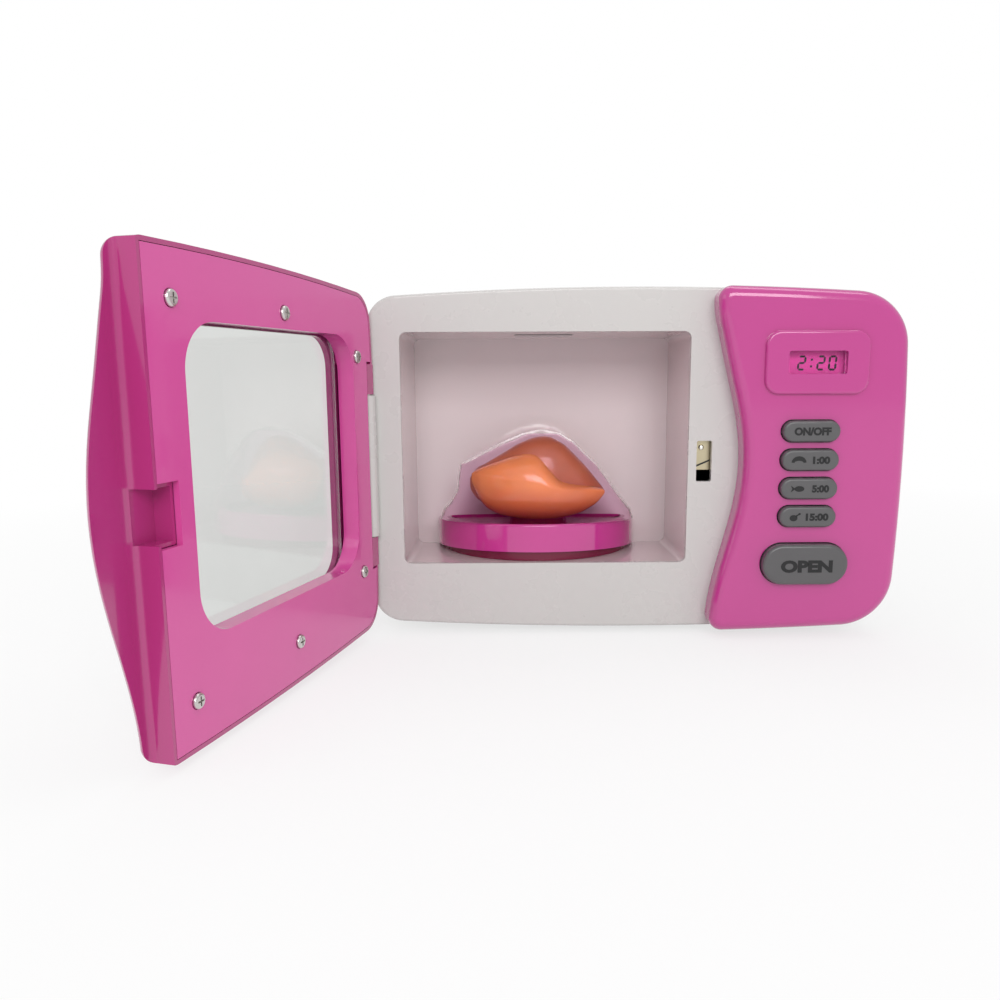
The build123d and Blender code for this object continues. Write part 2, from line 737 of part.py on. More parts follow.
# The head lies on the seat, facing plus one for towards the back, minus one for the front
def pan_screw(x, z, seat, length, facing):
    top = seat + facing * HEAD_HEIGHT
    head = disc(x, z, HEAD_R, min(seat, top), max(seat, top))
    rim = [e for e in head.edges() if abs(e.center().Y - top) < TINY]
    rim = [e for e in rim if e.geom_type == GeomType.CIRCLE]
    head = fillet(rim, HEAD_HEIGHT * HALF)
    floor = top - facing * RECESS_DEPTH
    above = top + facing * REACH
    near = min(floor, above)
    far = max(floor, above)
    arm = RECESS_ARM
    half = RECESS_WIDTH * HALF
    head -= block(x - arm, x + arm, near, far, z - half, z + half)
    head -= block(x - half, x + half, near, far, z - arm, z + arm)
    tip = seat - facing * length
    return head + disc(x, z, SCREW_R, min(seat, tip), max(seat, tip))


def screw_set(places, seat, length, facing):
    return solids_of(*[pan_screw(x, z, seat, length, facing) for x, z in places])


def board_screws():
    places = [(KEY_X + side, BOARD_SCREW_Z) for side in (-BOARD_SCREW_SPREAD, BOARD_SCREW_SPREAD)]
    return screw_set(places, BOARD_BACK_Y, BOARD_BACK_Y - PANEL_BACK - SHELL_WALL, 1)


def liner_screws():
    seat = liner_ear_y() + LINER_WALL
    return screw_set(liner_screw_places(), seat, LINER_WALL + liner_ear_y() - FACE_WALL * 2, 1)


# Dish: a half round tray against the cavity's back wall, tipped a little up at the front
def dish_place():
    return Pos(DISH_X, CAVITY_DEPTH - DISH_WALL_GAP, CAVITY_FLOOR_Z + DISH_LIFT) * Rot(-DISH_TILT, 0, 0)


def half_round(radius, low, high):
    middle = (low + high) * HALF
    front_half = Pos(0, -radius * HALF, middle) * Box(radius * 2 + REACH, radius, high - low)
    return (Pos(0, 0, middle) * Cylinder(radius, high - low)) & front_half


# A block as wide as the cavity, lying under or over a height inside the tilted dish
def dish_under(height):
    return dish_place() * Pos(0, 0, height - DISH_R) * Box(DISH_R * 4, DISH_R * 4, DISH_R * 2)


def dish_above(height):
    return dish_place() * Pos(0, 0, height + DISH_R) * Box(DISH_R * 4, DISH_R * 4, DISH_R * 2)


def dish():
    tray = half_round(DISH_R, 0, DISH_HEIGHT)
    rim = [e for e in tray.edges() if e.geom_type == GeomType.CIRCLE]
    rim = [e for e in rim if e.center().Z > DISH_HEIGHT - REACH]
    tray = fillet(rim, DISH_WALL * HALF)
    room = half_round(DISH_R - DISH_RIM_STEP, DISH_FLOOR, DISH_HEIGHT + REACH)
    return dish_place() * (tray - Pos(0, -DISH_WALL, 0) * room)


def dish_base():
    low = CAVITY_FLOOR_Z + CARD_GAP
    post = Pos(DISH_X, CAVITY_DEPTH - DISH_WALL_GAP, 0) * half_round(DISH_BASE_R, low, low + DISH_HEIGHT)
    return post - dish_above(-CARD_GAP)


def ellipsoid(x, y, z, length, width, height):
    return Pos(x, y, z) * scale(Sphere(1), by=(length * HALF, width * HALF, height * HALF))


# An egg shape lying along X, round in section
def egg(x, y, z, length, width):
    half = Ellipse(length * HALF, width * HALF) & Pos(0, width) * Rectangle(length * 2, width * 2)
    return Pos(x, y, z) * revolve(half, Axis.X)


def roast_chicken():
    bird = egg(BIRD_X, BIRD_Y, BIRD_Z, BIRD_LENGTH, BIRD_WIDTH)
    leg = egg(LEG_X, LEG_Y, LEG_Z, LEG_LENGTH, LEG_WIDTH)
    return bird + leg - dish_under(DISH_FLOOR + FOOD_GAP)


# Clear cover over the food, with a thin plate resting on the dish's rim
def food_dome():
    outer = ellipsoid(DOME_X, DOME_Y, DOME_Z, DOME_LENGTH, DOME_WIDTH, DOME_RISE * 2)
    length = DOME_LENGTH - DOME_WALL * 2
    width = DOME_WIDTH - DOME_WALL * 2
    inner = ellipsoid(DOME_X, DOME_Y, DOME_Z, length, width, (DOME_RISE - DOME_WALL) * 2)
    low = DISH_HEIGHT + FOOD_GAP
    plate = half_round(DISH_R - DISH_WALL - DOME_SKIRT_RIM, low, low + DOME_WALL)
    dome = outer - dish_under(low) + dish_place() * Pos(0, -DISH_WALL, 0) * plate
    return dome - inner


# Batteries, their box, contacts and cover at the back
def cell_heights():
    return [BATTERY_Z + CELL_PITCH * (i - (CELL_COUNT - 1) * HALF) for i in range(CELL_COUNT)]


def cell_y():
    return REAR_INSIDE_Y - CELL_R - REACH


def battery_box():
    length, height = battery_room()
    left = BATTERY_X - length * HALF
    right = BATTERY_X + length * HALF
    low = BATTERY_Z - height * HALF
    high = BATTERY_Z + height * HALF
    floor = cell_y() - CELL_R - REACH * HALF
    wall = BOX_WALL
    outer = block(left - wall, right + wall, floor - wall, REAR_INSIDE_Y, low - wall, high + wall)
    flange = slab(battery_opening(BOX_FLANGE), REAR_INSIDE_Y - wall, REAR_INSIDE_Y)
    x, z = cover_screw_place()
    boss = disc(x, z, HEAD_R, floor, REAR_INSIDE_Y)
    box = outer + flange + boss
    box -= block(left, right, floor, BODY_DEPTH, low, high)
    return box - disc(x, z, SCREW_R + GUIDE_GAP, floor + REACH, BODY_DEPTH)


def batteries():
    cells = []
    for i, z in enumerate(cell_heights()):
        end = -1 if i % 2 else 1
        can = Pos(BATTERY_X, cell_y(), z) * Rot(0, 90, 0) * Cylinder(CELL_R, CELL_LENGTH)
        nub_x = BATTERY_X + end * (CELL_LENGTH + CELL_NUB) * HALF
        nub = Pos(nub_x, cell_y(), z) * Rot(0, 90, 0) * Cylinder(CELL_NUB_R, CELL_NUB)
        cells.append(can + nub)
    return solids_of(*cells)


# Six sprung contacts, each a plate against the box's end with a coil towards the cell
def battery_contacts():
    contacts = []
    half = CELL_R - REACH * 2
    far = battery_room()[0] * HALF - CARD_GAP
    plate_near = far - CONTACT_THICK
    near = CELL_LENGTH * HALF + CELL_NUB + CARD_GAP
    y = cell_y()
    for z in cell_heights():
        for side in (-1, 1):
            ends = sorted((BATTERY_X + side * plate_near, BATTERY_X + side * far))
            plate = block(*ends, y - half, y + half, z - half, z + half)
            middle = Pos(BATTERY_X + side * (near + far) * HALF, y, z)
            coil = middle * Rot(0, 90, 0) * Cylinder(CELL_NUB_R, far - near)
            contacts.append(plate + coil)
    return solids_of(*contacts)


def cover_screw_place():
    width = cover_size()[0]
    return BATTERY_X + width * HALF - HEAD_R - COVER_LEDGE * HALF, BATTERY_Z


def battery_cover():
    cover = slab(battery_opening(0), REAR_INSIDE_Y + CARD_GAP, BODY_DEPTH)
    x, z = cover_screw_place()
    cover -= disc(x, z, CLEAR_R, REAR_INSIDE_Y - REACH, BODY_DEPTH + REACH)
    half = CELL_PITCH * HALF
    for i in range(COVER_RIBS):
        left = BATTERY_X - CELL_LENGTH * HALF + RIB_WIDTH * 2 * i
        right = left + RIB_WIDTH
        cover += block(left, right, BODY_DEPTH - REACH, BODY_DEPTH + REACH, z - half, z + half)
    return cover


def cover_screw():
    x, z = cover_screw_place()
    return pan_screw(x, z, BODY_DEPTH, CELL_R + WALL, 1)


def speaker():
    back = REAR_INSIDE_Y - CARD_GAP
    basket = disc(SPEAKER_X, SPEAKER_Z, SPEAKER_R, back - SPEAKER_RING, back)
    front = REAR_INSIDE_Y - SPEAKER_DEPTH
    return basket + disc(SPEAKER_X, SPEAKER_Z, SPEAKER_MAGNET_R, front, back - SPEAKER_RING * HALF)


def feet():
    pads = []
    for x in (-FOOT_X, FOOT_X):
        for y in (FOOT_FRONT_Y, FOOT_BACK_Y):
            foot = upright(x, y, FOOT_R, -FOOT_HEIGHT, 0)
            rims = [e for e in foot.edges() if e.geom_type == GeomType.CIRCLE]
            foot = chamfer([e for e in rims if e.center().Z < -REACH], FOOT_EDGE)
            pads.append(foot + upright(x, y, PEG_R, -REACH, PEG_HEIGHT))
    return solids_of(*pads)


# Door, drawn closed, then swung to the open rest pose about the hinge line
def swing_open(shape):
    return shape.rotate(Axis((HINGE_X, HINGE_Y, 0), (0, 0, 1)), -DOOR_OPEN_ANGLE)


def glazing_face():
    return frame_rect(GLAZING_LEFT, GLAZING_RIGHT, GLAZING_LOW, GLAZING_HIGH, GLAZING_R)


def reveal_face(grow):
    left = REVEAL_LEFT - grow
    right = REVEAL_RIGHT + grow
    return frame_rect(left, right, REVEAL_LOW - grow, REVEAL_HIGH + grow, REVEAL_R + grow)


def hinge_relief():
    low = KNUCKLE_LOW - KNUCKLE_GAP
    high = KNUCKLE_HIGH + KNUCKLE_GAP
    return upright(HINGE_X, HINGE_Y, HINGE_RELIEF_R, low, high)


def pin_ends():
    return KNUCKLE_LOW - PIN_INTO_DOOR, KNUCKLE_HIGH + PIN_INTO_DOOR


# Cuts the door's hinge edge back, so that it clears the body's side as it swings
def door_corner_relief():
    far = HINGE_X - BODY_WIDTH
    return block(far, HINGE_EDGE_X, HINGE_EDGE_Y, REACH, -REACH, BODY_HEIGHT + REACH)


def catch_block(grow, front, back):
    left = CATCH_LEFT - grow
    right = DOOR_WALL_X + REACH
    return block(left, right, front, back, CATCH_LOW - grow, CATCH_HIGH + grow)


# Room behind the finger lip, with a rounded root where the lip meets the door's end wall
def lip_room():
    far = BODY_WIDTH * HALF
    start = (DOOR_WALL_X, REACH)
    root = (DOOR_WALL_X, LIP_BACK + LIP_ROOT_R * HALF)
    end = (DOOR_WALL_X + LIP_ROOT_R, LIP_BACK)
    bend = Spline(root, end, tangents=[(0, -1), (1, 0)])
    rest = Polyline(end, (far, LIP_BACK), (far, REACH), start, root)
    profile = make_face([bend, *rest.edges()])
    return Pos(0, 0, -BODY_HEIGHT * HALF) * extrude(profile, amount=BODY_HEIGHT * 2, dir=(0, 0, 1))


# The hollow in the door shell, which leaves the bosses, the pin lugs and the catch pocket
def door_hollow():
    face = body_outline(SHELL_WALL) & inner_limit(DOOR_WALL_X - DOOR_WALL)
    hollow = slab(face, PANEL_BACK, DOOR_MID)
    hollow -= catch_block(CATCH_WALL, PANEL_BACK, DOOR_MID + REACH)
    low, high = pin_ends()
    left = HINGE_X - KNUCKLE_R
    right = HINGE_X + HINGE_RELIEF_R + SHELL_WALL
    hollow -= block(left, right, PANEL_FRONT, DOOR_BACK, low - REACH, high + REACH)
    for x, z in DOOR_SCREWS:
        hollow -= disc(x, z, DOOR_BOSS_R, PANEL_FRONT, DOOR_BACK)
    return hollow


def pin_lugs():
    low, high = pin_ends()
    right = HINGE_X + HINGE_RELIEF_R
    front = HINGE_Y - HINGE_RELIEF_R
    lower_top = KNUCKLE_LOW - KNUCKLE_GAP
    upper_low = KNUCKLE_HIGH + KNUCKLE_GAP
    lower = block(HINGE_EDGE_X, right, front, DOOR_BACK, low - REACH, lower_top)
    return lower + block(HINGE_EDGE_X, right, front, DOOR_BACK, upper_low, high + REACH)


def door_outer_shell():
    shell = slab(door_outline(), PANEL_FRONT, DOOR_BACK)
    shell = rounded_front(shell, PANEL_FRONT, FRONT_EDGE_R)
    shell -= lip_room()
    shell -= door_hollow()
    shell -= slab(cover_outline(-COVER_GAP), DOOR_MID, REACH)
    shell += pin_lugs()
    shell -= catch_block(0, LIP_BACK, REACH)
    shell -= slab(glazing_face(), PANEL_FRONT - REACH, PANEL_BACK + REACH)
    for x, z in DOOR_SCREWS:
        shell -= disc(x, z, PILOT_R, PANEL_BACK + REACH, REACH)
    low, high = pin_ends()
    shell -= upright(HINGE_X, HINGE_Y, PIN_R, low, high)
    return swing_open(shell - hinge_relief() - door_corner_relief())


def inner_limit(right):
    middle = Pos((right - BODY_WIDTH) * HALF, BODY_HEIGHT * HALF)
    return middle * Rectangle(right + BODY_WIDTH, BODY_HEIGHT * 2)


def cover_outline(inset):
    return body_outline(COVER_RIM + inset) & inner_limit(DOOR_WALL_X - DOOR_WALL - inset)


# The cover stops short of the hinge pin and goes round the knuckle and the catch pocket
def door_inner_cover():
    cover = slab(cover_outline(0), DOOR_MID, DOOR_BACK)
    cover += slab(reveal_face(REVEAL_WALL), PANEL_BACK + PANE_THICK + PANE_GAP * 2, DOOR_MID)
    cover -= slab(reveal_face(0), PANEL_FRONT, REACH)
    cover -= catch_block(CATCH_WALL + COVER_GAP, PANEL_FRONT, REACH)
    low, high = pin_ends()
    edge = HINGE_X + HINGE_RELIEF_R + COVER_GAP
    far = HINGE_X - BODY_WIDTH
    cover -= block(far, edge, PANEL_FRONT, REACH, low - REACH * 2, high + REACH * 2)
    for x, z in DOOR_SCREWS:
        cover -= disc(x, z, DOOR_BOSS_R + COVER_GAP, PANEL_FRONT, DOOR_MID)
        cover -= disc(x, z, CLEAR_R, PANEL_FRONT, REACH)
        cover -= disc(x, z, HEAD_R + COVER_GAP, DOOR_BACK - SCREW_SINK, REACH)
    return swing_open(cover)


def door_window():
    margin = PANE_MARGIN
    left = GLAZING_LEFT - margin
    right = GLAZING_RIGHT + margin
    pane = frame_rect(left, right, GLAZING_LOW - margin, GLAZING_HIGH + margin, GLAZING_R)
    front = PANEL_BACK + PANE_GAP
    return swing_open(slab(pane, front, front + PANE_THICK))


def door_screws():
    seat = DOOR_BACK - SCREW_SINK
    return swing_open(screw_set(DOOR_SCREWS, seat, seat - PANEL_BACK - REACH * 2, 1))


def hinge_pin():
    low, high = pin_ends()
    return upright(HINGE_X, HINGE_Y, PIN_R, low, high)


def body_screws():
    return screw_set(BODY_SCREWS, TOWER_SEAT_Y, TOWER_FLOOR + BOSS_R * 2, 1)


def panel_screws():
    return screw_set(PANEL_SCREWS, FACE_WALL, FACE_WALL - PANEL_BACK - REACH * 3, 1)


KEY_NAMES = ["power_button", "one_minute_button", "five_minute_button", "fifteen_minute_button"]
NODES = {
    "front_frame": front_frame,
    "rear_shell": rear_shell,
    "oven_liner": oven_liner,
    "lamp_lens": lamp_lens,
    "cavity_lamp": cavity_lamp,
    "lamp_holder": lamp_holder,
    "control_panel": control_panel,
    "display_window": display_window,
    "display_card": display_card,
    "display_module": display_module,
    "keypad_mat": keypad_mat,
    "switch_board": switch_board,
    "board_screws": board_screws,
    "panel_screws": panel_screws,
    "liner_screws": liner_screws,
    "body_screws": body_screws,
    "open_button": open_button,
    "latch_plate": latch_plate,
    "latch_spring": latch_spring,
    "latch_guide": latch_guide,
    "dish": dish,
    "dish_base": dish_base,
    "roast_chicken": roast_chicken,
    "food_dome": food_dome,
    "battery_box": battery_box,
    "batteries": batteries,
    "battery_contacts": battery_contacts,
    "battery_cover": battery_cover,
    "cover_screw": cover_screw,
    "speaker": speaker,
    "feet": feet,
    "hinge_pin": hinge_pin,
    "door_outer_shell": door_outer_shell,
    "door_inner_cover": door_inner_cover,
    "door_window": door_window,
    "door_screws": door_screws,
}


# The origin lies on the table under the middle of the body
def write(name, shape):
    placed = Pos(0, -BODY_DEPTH * HALF, FOOT_HEIGHT) * shape
    export_step(placed, f"parts/{name}.step")


os.makedirs("parts", exist_ok=True)
for name, make in NODES.items():
    write(name, make())
for name, height in zip(KEY_NAMES, key_heights()):
    write(name, key_button(height))
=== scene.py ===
import logging
import math
from dataclasses import dataclass, field
from enum import Enum

import bpy
import numpy as np
from mathutils import Matrix, Vector


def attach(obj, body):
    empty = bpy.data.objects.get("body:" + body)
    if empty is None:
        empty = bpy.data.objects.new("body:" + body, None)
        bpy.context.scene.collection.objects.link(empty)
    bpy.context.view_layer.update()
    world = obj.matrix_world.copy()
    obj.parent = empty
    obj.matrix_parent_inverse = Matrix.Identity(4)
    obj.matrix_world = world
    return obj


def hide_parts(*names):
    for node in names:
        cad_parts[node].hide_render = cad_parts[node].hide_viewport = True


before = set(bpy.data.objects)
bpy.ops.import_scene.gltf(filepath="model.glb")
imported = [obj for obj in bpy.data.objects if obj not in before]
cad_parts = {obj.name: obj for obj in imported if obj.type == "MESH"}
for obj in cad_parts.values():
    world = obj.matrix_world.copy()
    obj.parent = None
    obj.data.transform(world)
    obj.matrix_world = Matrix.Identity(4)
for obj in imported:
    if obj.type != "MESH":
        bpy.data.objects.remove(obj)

LOG = logging.getLogger("toy_microwave")
MM = 0.001

# Noise cells per metre and octaves, for a finish's colour, gloss and relief
COLOUR_CELLS, COLOUR_OCTAVES = 35.0, 3.0
GLOSS_CELLS, FINE_OCTAVES = 80.0, 4.0
DARK_SHARE, LIGHT_SHARE = 0.3, 0.7
GLOSS_SPREAD = 0.15
SMALLEST_ROUGHNESS = 0.02
RELIEF_DEPTH = 0.2 * MM
COAT_ROUGHNESS = 0.06
SCATTER_DEPTH = 2.0 * MM

Point = tuple[float, float, float]
Pair = tuple[float, float]
Colour = tuple[float, float, float]
Row = tuple[float, ...]
Outline = np.ndarray


class Grain(Enum):
    """How fine the surface relief of a finish is, as a noise scale per metre."""

    POLISHED = 260.0
    MOULDED = 900.0
    BRUSHED = 2600.0
    SKIN = 420.0


@dataclass(frozen=True)
class Finish:
    """A moulded, metal or printed finish, built as a node material.

    The colour drifts between two near shades with a slow noise, the
    roughness with a second one, and a fine noise gives the relief.
    """

    name: str
    colour: Colour
    roughness: float = 0.3
    drift: float = 0.05
    grain: Grain = Grain.MOULDED
    relief: float = 0.05
    coat: float = 0.0
    metallic: float = 0.0
    subsurface: float = 0.0

    def shade(self, factor: float) -> tuple[float, float, float, float]:
        """Scales the colour, kept within 0 and 1.

        Args:
            factor: What each channel is multiplied by.

        Returns:
            Red, green, blue and a full alpha.
        """
        red, green, blue = (min(1.0, max(0.0, c * factor)) for c in self.colour)
        return red, green, blue, 1.0

    def noise(self, tree: bpy.types.NodeTree, scale: float, detail: float) -> bpy.types.Node:
        """Adds a noise on Object coordinates.

        Args:
            tree: The material's node tree.
            scale: Noise cells per metre.
            detail: Number of octaves.

        Returns:
            The noise node.
        """
        place = tree.nodes.new("ShaderNodeTexCoord")
        noise = tree.nodes.new("ShaderNodeTexNoise")
        noise.inputs["Scale"].default_value = scale
        noise.inputs["Detail"].default_value = detail
        tree.links.new(place.outputs["Object"], noise.inputs["Vector"])
        return noise

    def colour_output(self, tree: bpy.types.NodeTree) -> bpy.types.NodeSocket:
        """Adds the drift between a darker and a lighter shade.

        Args:
            tree: The material's node tree.

        Returns:
            The socket that carries the colour.
        """
        ramp = tree.nodes.new("ShaderNodeValToRGB")
        dark, light = ramp.color_ramp.elements
        dark.position, light.position = DARK_SHARE, LIGHT_SHARE
        dark.color = self.shade(1.0 - self.drift)
        light.color = self.shade(1.0 + self.drift)
        slow = self.noise(tree, COLOUR_CELLS, COLOUR_OCTAVES)
        tree.links.new(slow.outputs["Fac"], ramp.inputs["Fac"])
        return ramp.outputs["Color"]

    def finish_shader(self, shader: bpy.types.Node) -> None:
        """Sets the shader's own constant sockets.

        Args:
            shader: The material's main shader.
        """
        shader.inputs["Metallic"].default_value = self.metallic
        shader.inputs["Coat Weight"].default_value = self.coat
        shader.inputs["Coat Roughness"].default_value = COAT_ROUGHNESS
        shader.inputs["Subsurface Weight"].default_value = self.subsurface
        shader.inputs["Subsurface Scale"].default_value = SCATTER_DEPTH

    def build(self) -> bpy.types.Material:
        """Makes the material.

        Returns:
            The new material, with its nodes joined up.
        """
        material = bpy.data.materials.new(self.name)
        material.use_nodes = True
        tree = material.node_tree
        shader = tree.nodes["Principled BSDF"]
        tree.links.new(self.colour_output(tree), shader.inputs["Base Color"])
        spread = tree.nodes.new("ShaderNodeMapRange")
        glossier = max(SMALLEST_ROUGHNESS, self.roughness * (1.0 - GLOSS_SPREAD))
        duller = min(1.0, self.roughness * (1.0 + GLOSS_SPREAD))
        spread.inputs["To Min"].default_value = glossier
        spread.inputs["To Max"].default_value = duller
        uneven = self.noise(tree, GLOSS_CELLS, FINE_OCTAVES)
        tree.links.new(uneven.outputs["Fac"], spread.inputs["Value"])
        tree.links.new(spread.outputs["Result"], shader.inputs["Roughness"])
        bump = tree.nodes.new("ShaderNodeBump")
        bump.inputs["Strength"].default_value = self.relief
        bump.inputs["Distance"].default_value = RELIEF_DEPTH
        fine = self.noise(tree, self.grain.value, FINE_OCTAVES)
        tree.links.new(fine.outputs["Fac"], bump.inputs["Height"])
        tree.links.new(bump.outputs["Normal"], shader.inputs["Normal"])
        self.finish_shader(shader)
        material.diffuse_color = self.shade(1.0)
        return material


@dataclass(frozen=True)
class ClearFinish(Finish):
    """Clear plastic: light passes through, with a faint tint and ripple."""

    index: float = 1.45

    def finish_shader(self, shader: bpy.types.Node) -> None:
        """Sets the shader's own constant sockets for a clear plastic.

        Args:
            shader: The material's main shader.
        """
        super().finish_shader(shader)
        shader.inputs["Transmission Weight"].default_value = 1.0
        shader.inputs["IOR"].default_value = self.index


@dataclass(frozen=True)
class RoastFinish(Finish):
    """Glossy roast skin, golden above and redder below by its height."""

    low_colour: Colour = (0.45, 0.07, 0.03)
    low_z: float = 0.050
    high_z: float = 0.070

    def colour_output(self, tree: bpy.types.NodeTree) -> bpy.types.NodeSocket:
        """Adds a blend from the low colour to the skin colour up the height.

        Args:
            tree: The material's node tree.

        Returns:
            The socket that carries the colour.
        """
        place = tree.nodes.new("ShaderNodeTexCoord")
        split = tree.nodes.new("ShaderNodeSeparateXYZ")
        rise = tree.nodes.new("ShaderNodeMapRange")
        rise.inputs["From Min"].default_value = self.low_z
        rise.inputs["From Max"].default_value = self.high_z
        mix = tree.nodes.new("ShaderNodeMix")
        mix.data_type = "RGBA"
        mix.inputs["A"].default_value = (*self.low_colour, 1.0)
        tree.links.new(place.outputs["Object"], split.inputs["Vector"])
        tree.links.new(split.outputs["Z"], rise.inputs["Value"])
        tree.links.new(rise.outputs["Result"], mix.inputs["Factor"])
        tree.links.new(super().colour_output(tree), mix.inputs["B"])
        return mix.outputs["Result"]


WHITE_SHELL = Finish("white_shell", (0.57, 0.555, 0.54), 0.28, 0.005, coat=0.25)
# The liner's pink tint over its white is a painted reflection of the pink door.
LINER_WITH_REFLECTION = Finish("liner_plastic", (0.72, 0.62, 0.63), 0.12, 0.008, Grain.POLISHED, 0.02, coat=0.5)
PINK = Finish("pink_shell", (0.50, 0.042, 0.25), 0.14, 0.012, Grain.POLISHED, 0.015, coat=0.8)
DOOR_PINK = Finish("door_pink", (0.66, 0.075, 0.33), 0.2, 0.015, Grain.POLISHED, 0.02, coat=0.5)
DOOR_SHELL = Finish("door_shell", (0.42, 0.028, 0.18), 0.16, 0.015, Grain.POLISHED, 0.02, coat=0.7)
DISH_PINK = Finish("dish_pink", (0.52, 0.032, 0.25), 0.12, 0.03, Grain.POLISHED, 0.04, coat=0.9)
# The dish base is painted near black, as shade in the gap under the dish rim.
SHADED_DISH_BASE = Finish("dish_magenta", (0.17, 0.004, 0.035), 0.25, 0.05)
KEY_GREY = Finish("key_grey", (0.088, 0.086, 0.089), 0.32, 0.03, coat=0.3)
INK = Finish("label_ink", (0.006, 0.006, 0.007), 0.45, 0.1)
CARD = Finish("display_card_pink", (0.84, 0.062, 0.40), 0.6, 0.03)
MODULE = Finish("display_module_white", (0.70, 0.70, 0.69), 0.5, 0.03)
DIGIT = Finish("display_digit", (0.02, 0.008, 0.02), 0.5, 0.1)
STEEL = Finish("screw_steel", (0.62, 0.60, 0.58), 0.28, 0.1, Grain.BRUSHED, 0.08, metallic=1.0)
LATCH = Finish("latch_metal", (0.55, 0.48, 0.33), 0.28, 0.12, Grain.BRUSHED, 0.1, metallic=1.0)
# The rivet head's bright, glossy metal is a painted highlight, lighter than the latch plate.
GLINT = Finish("rivet_painted_glint", (0.92, 0.90, 0.84), 0.12, 0.05, Grain.POLISHED, 0.05, metallic=1.0)
RUBBER = Finish("foot_rubber", (0.035, 0.035, 0.036), 0.8, 0.15, Grain.MOULDED, 0.25)
MAT = Finish("mat_rubber", (0.30, 0.30, 0.31), 0.75, 0.08)
BOARD = Finish("board_green", (0.015, 0.12, 0.04), 0.4, 0.25, Grain.BRUSHED, 0.1)
BLACK = Finish("black_plastic", (0.012, 0.012, 0.013), 0.5, 0.2)
LAMP = Finish("lamp_white", (0.85, 0.82, 0.72), 0.3, 0.03)
CELL = Finish("cell_jacket", (0.12, 0.125, 0.14), 0.35, 0.15, Grain.BRUSHED, 0.05)
CLEAR = ClearFinish("clear_pane", (0.73, 0.745, 0.73), 0.03, 0.01, Grain.POLISHED, 0.01)
LENS = ClearFinish("clear_lens", (0.97, 0.93, 0.96), 0.03, 0.01, Grain.POLISHED, 0.01, index=1.2)
DOME = ClearFinish("clear_dome", (0.84, 0.62, 0.76), 0.04, 0.04, Grain.SKIN, 0.2, index=1.07)
ROAST = RoastFinish("roast_skin", (0.80, 0.31, 0.085), 0.24, 0.12, Grain.SKIN, 0.2, coat=0.7,
                    subsurface=0.1, low_colour=(0.60, 0.13, 0.055), low_z=0.052, high_z=0.065)
# Painted shade: the lobe behind has the roast skin darkened to brown, for the shade it lies in
# behind the front lobe.
SHADED_BACK_SKIN = RoastFinish("roast_back_painted_shade", (0.46, 0.15, 0.06), 0.3, 0.12, Grain.SKIN, 0.2,
                        coat=0.5, subsurface=0.1, low_colour=(0.36, 0.08, 0.05))

NODE_FINISHES: dict[str, Finish] = {
    "front_frame": WHITE_SHELL, "rear_shell": WHITE_SHELL, "battery_cover": WHITE_SHELL,
    "battery_box": WHITE_SHELL, "latch_guide": WHITE_SHELL, "oven_liner": LINER_WITH_REFLECTION,
    "control_panel": PINK, "door_outer_shell": DOOR_SHELL, "door_inner_cover": DOOR_PINK,
    "door_window": CLEAR, "display_window": LENS, "lamp_lens": CLEAR, "food_dome": DOME,
    "dish": DISH_PINK, "dish_base": SHADED_DISH_BASE, "power_button": KEY_GREY,
    "one_minute_button": KEY_GREY, "five_minute_button": KEY_GREY,
    "fifteen_minute_button": KEY_GREY, "open_button": KEY_GREY, "display_card": CARD,
    "display_module": MODULE, "keypad_mat": MAT, "switch_board": BOARD,
    "board_screws": STEEL, "panel_screws": STEEL, "liner_screws": STEEL,
    "body_screws": STEEL, "door_screws": STEEL, "cover_screw": STEEL, "hinge_pin": STEEL,
    "battery_contacts": STEEL, "latch_spring": STEEL, "latch_plate": LATCH,
    "batteries": CELL, "speaker": BLACK, "lamp_holder": BLACK, "cavity_lamp": LAMP,
    "feet": RUBBER, "roast_chicken": ROAST,
}


class Workshop:
    """Builds materials once each, and turns arrays into placed pieces."""

    def __init__(self) -> None:
        """Starts with no material made."""
        self.materials: dict[str, bpy.types.Material] = {}

    def material(self, finish: Finish) -> bpy.types.Material:
        """Finds the finish's material, made at its first use.

        Args:
            finish: The finish.

        Returns:
            Its material, one for all the pieces that share it.
        """
        if finish.name not in self.materials:
            self.materials[finish.name] = finish.build()
        return self.materials[finish.name]

    def piece(self, name: str, mesh: bpy.types.Mesh, finish: Finish, body: str,
              slot: str) -> bpy.types.Object:
        """Links a mesh as a piece that rides on a body.

        Args:
            name: The piece's name.
            mesh: Its mesh, in the frame's metres.
            finish: Its finish.
            body: The CAD body that it moves with.
            slot: The record's material slot; not used.

        Returns:
            The new object.
        """
        mesh.materials.clear()
        mesh.materials.append(self.material(finish))
        piece = bpy.data.objects.new(name, mesh)
        bpy.context.scene.collection.objects.link(piece)
        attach(piece, body)
        LOG.info("%s rides on %s with %d faces", name, body, len(mesh.polygons))
        return piece

    def dress_nodes(self) -> None:
        """Gives every CAD node the finish of its table row."""
        for name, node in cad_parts.items():
            material = self.material(NODE_FINISHES[name])
            for place in node.material_slots:
                place.material = material
            LOG.info("%s is finished in %s", name, material.name)


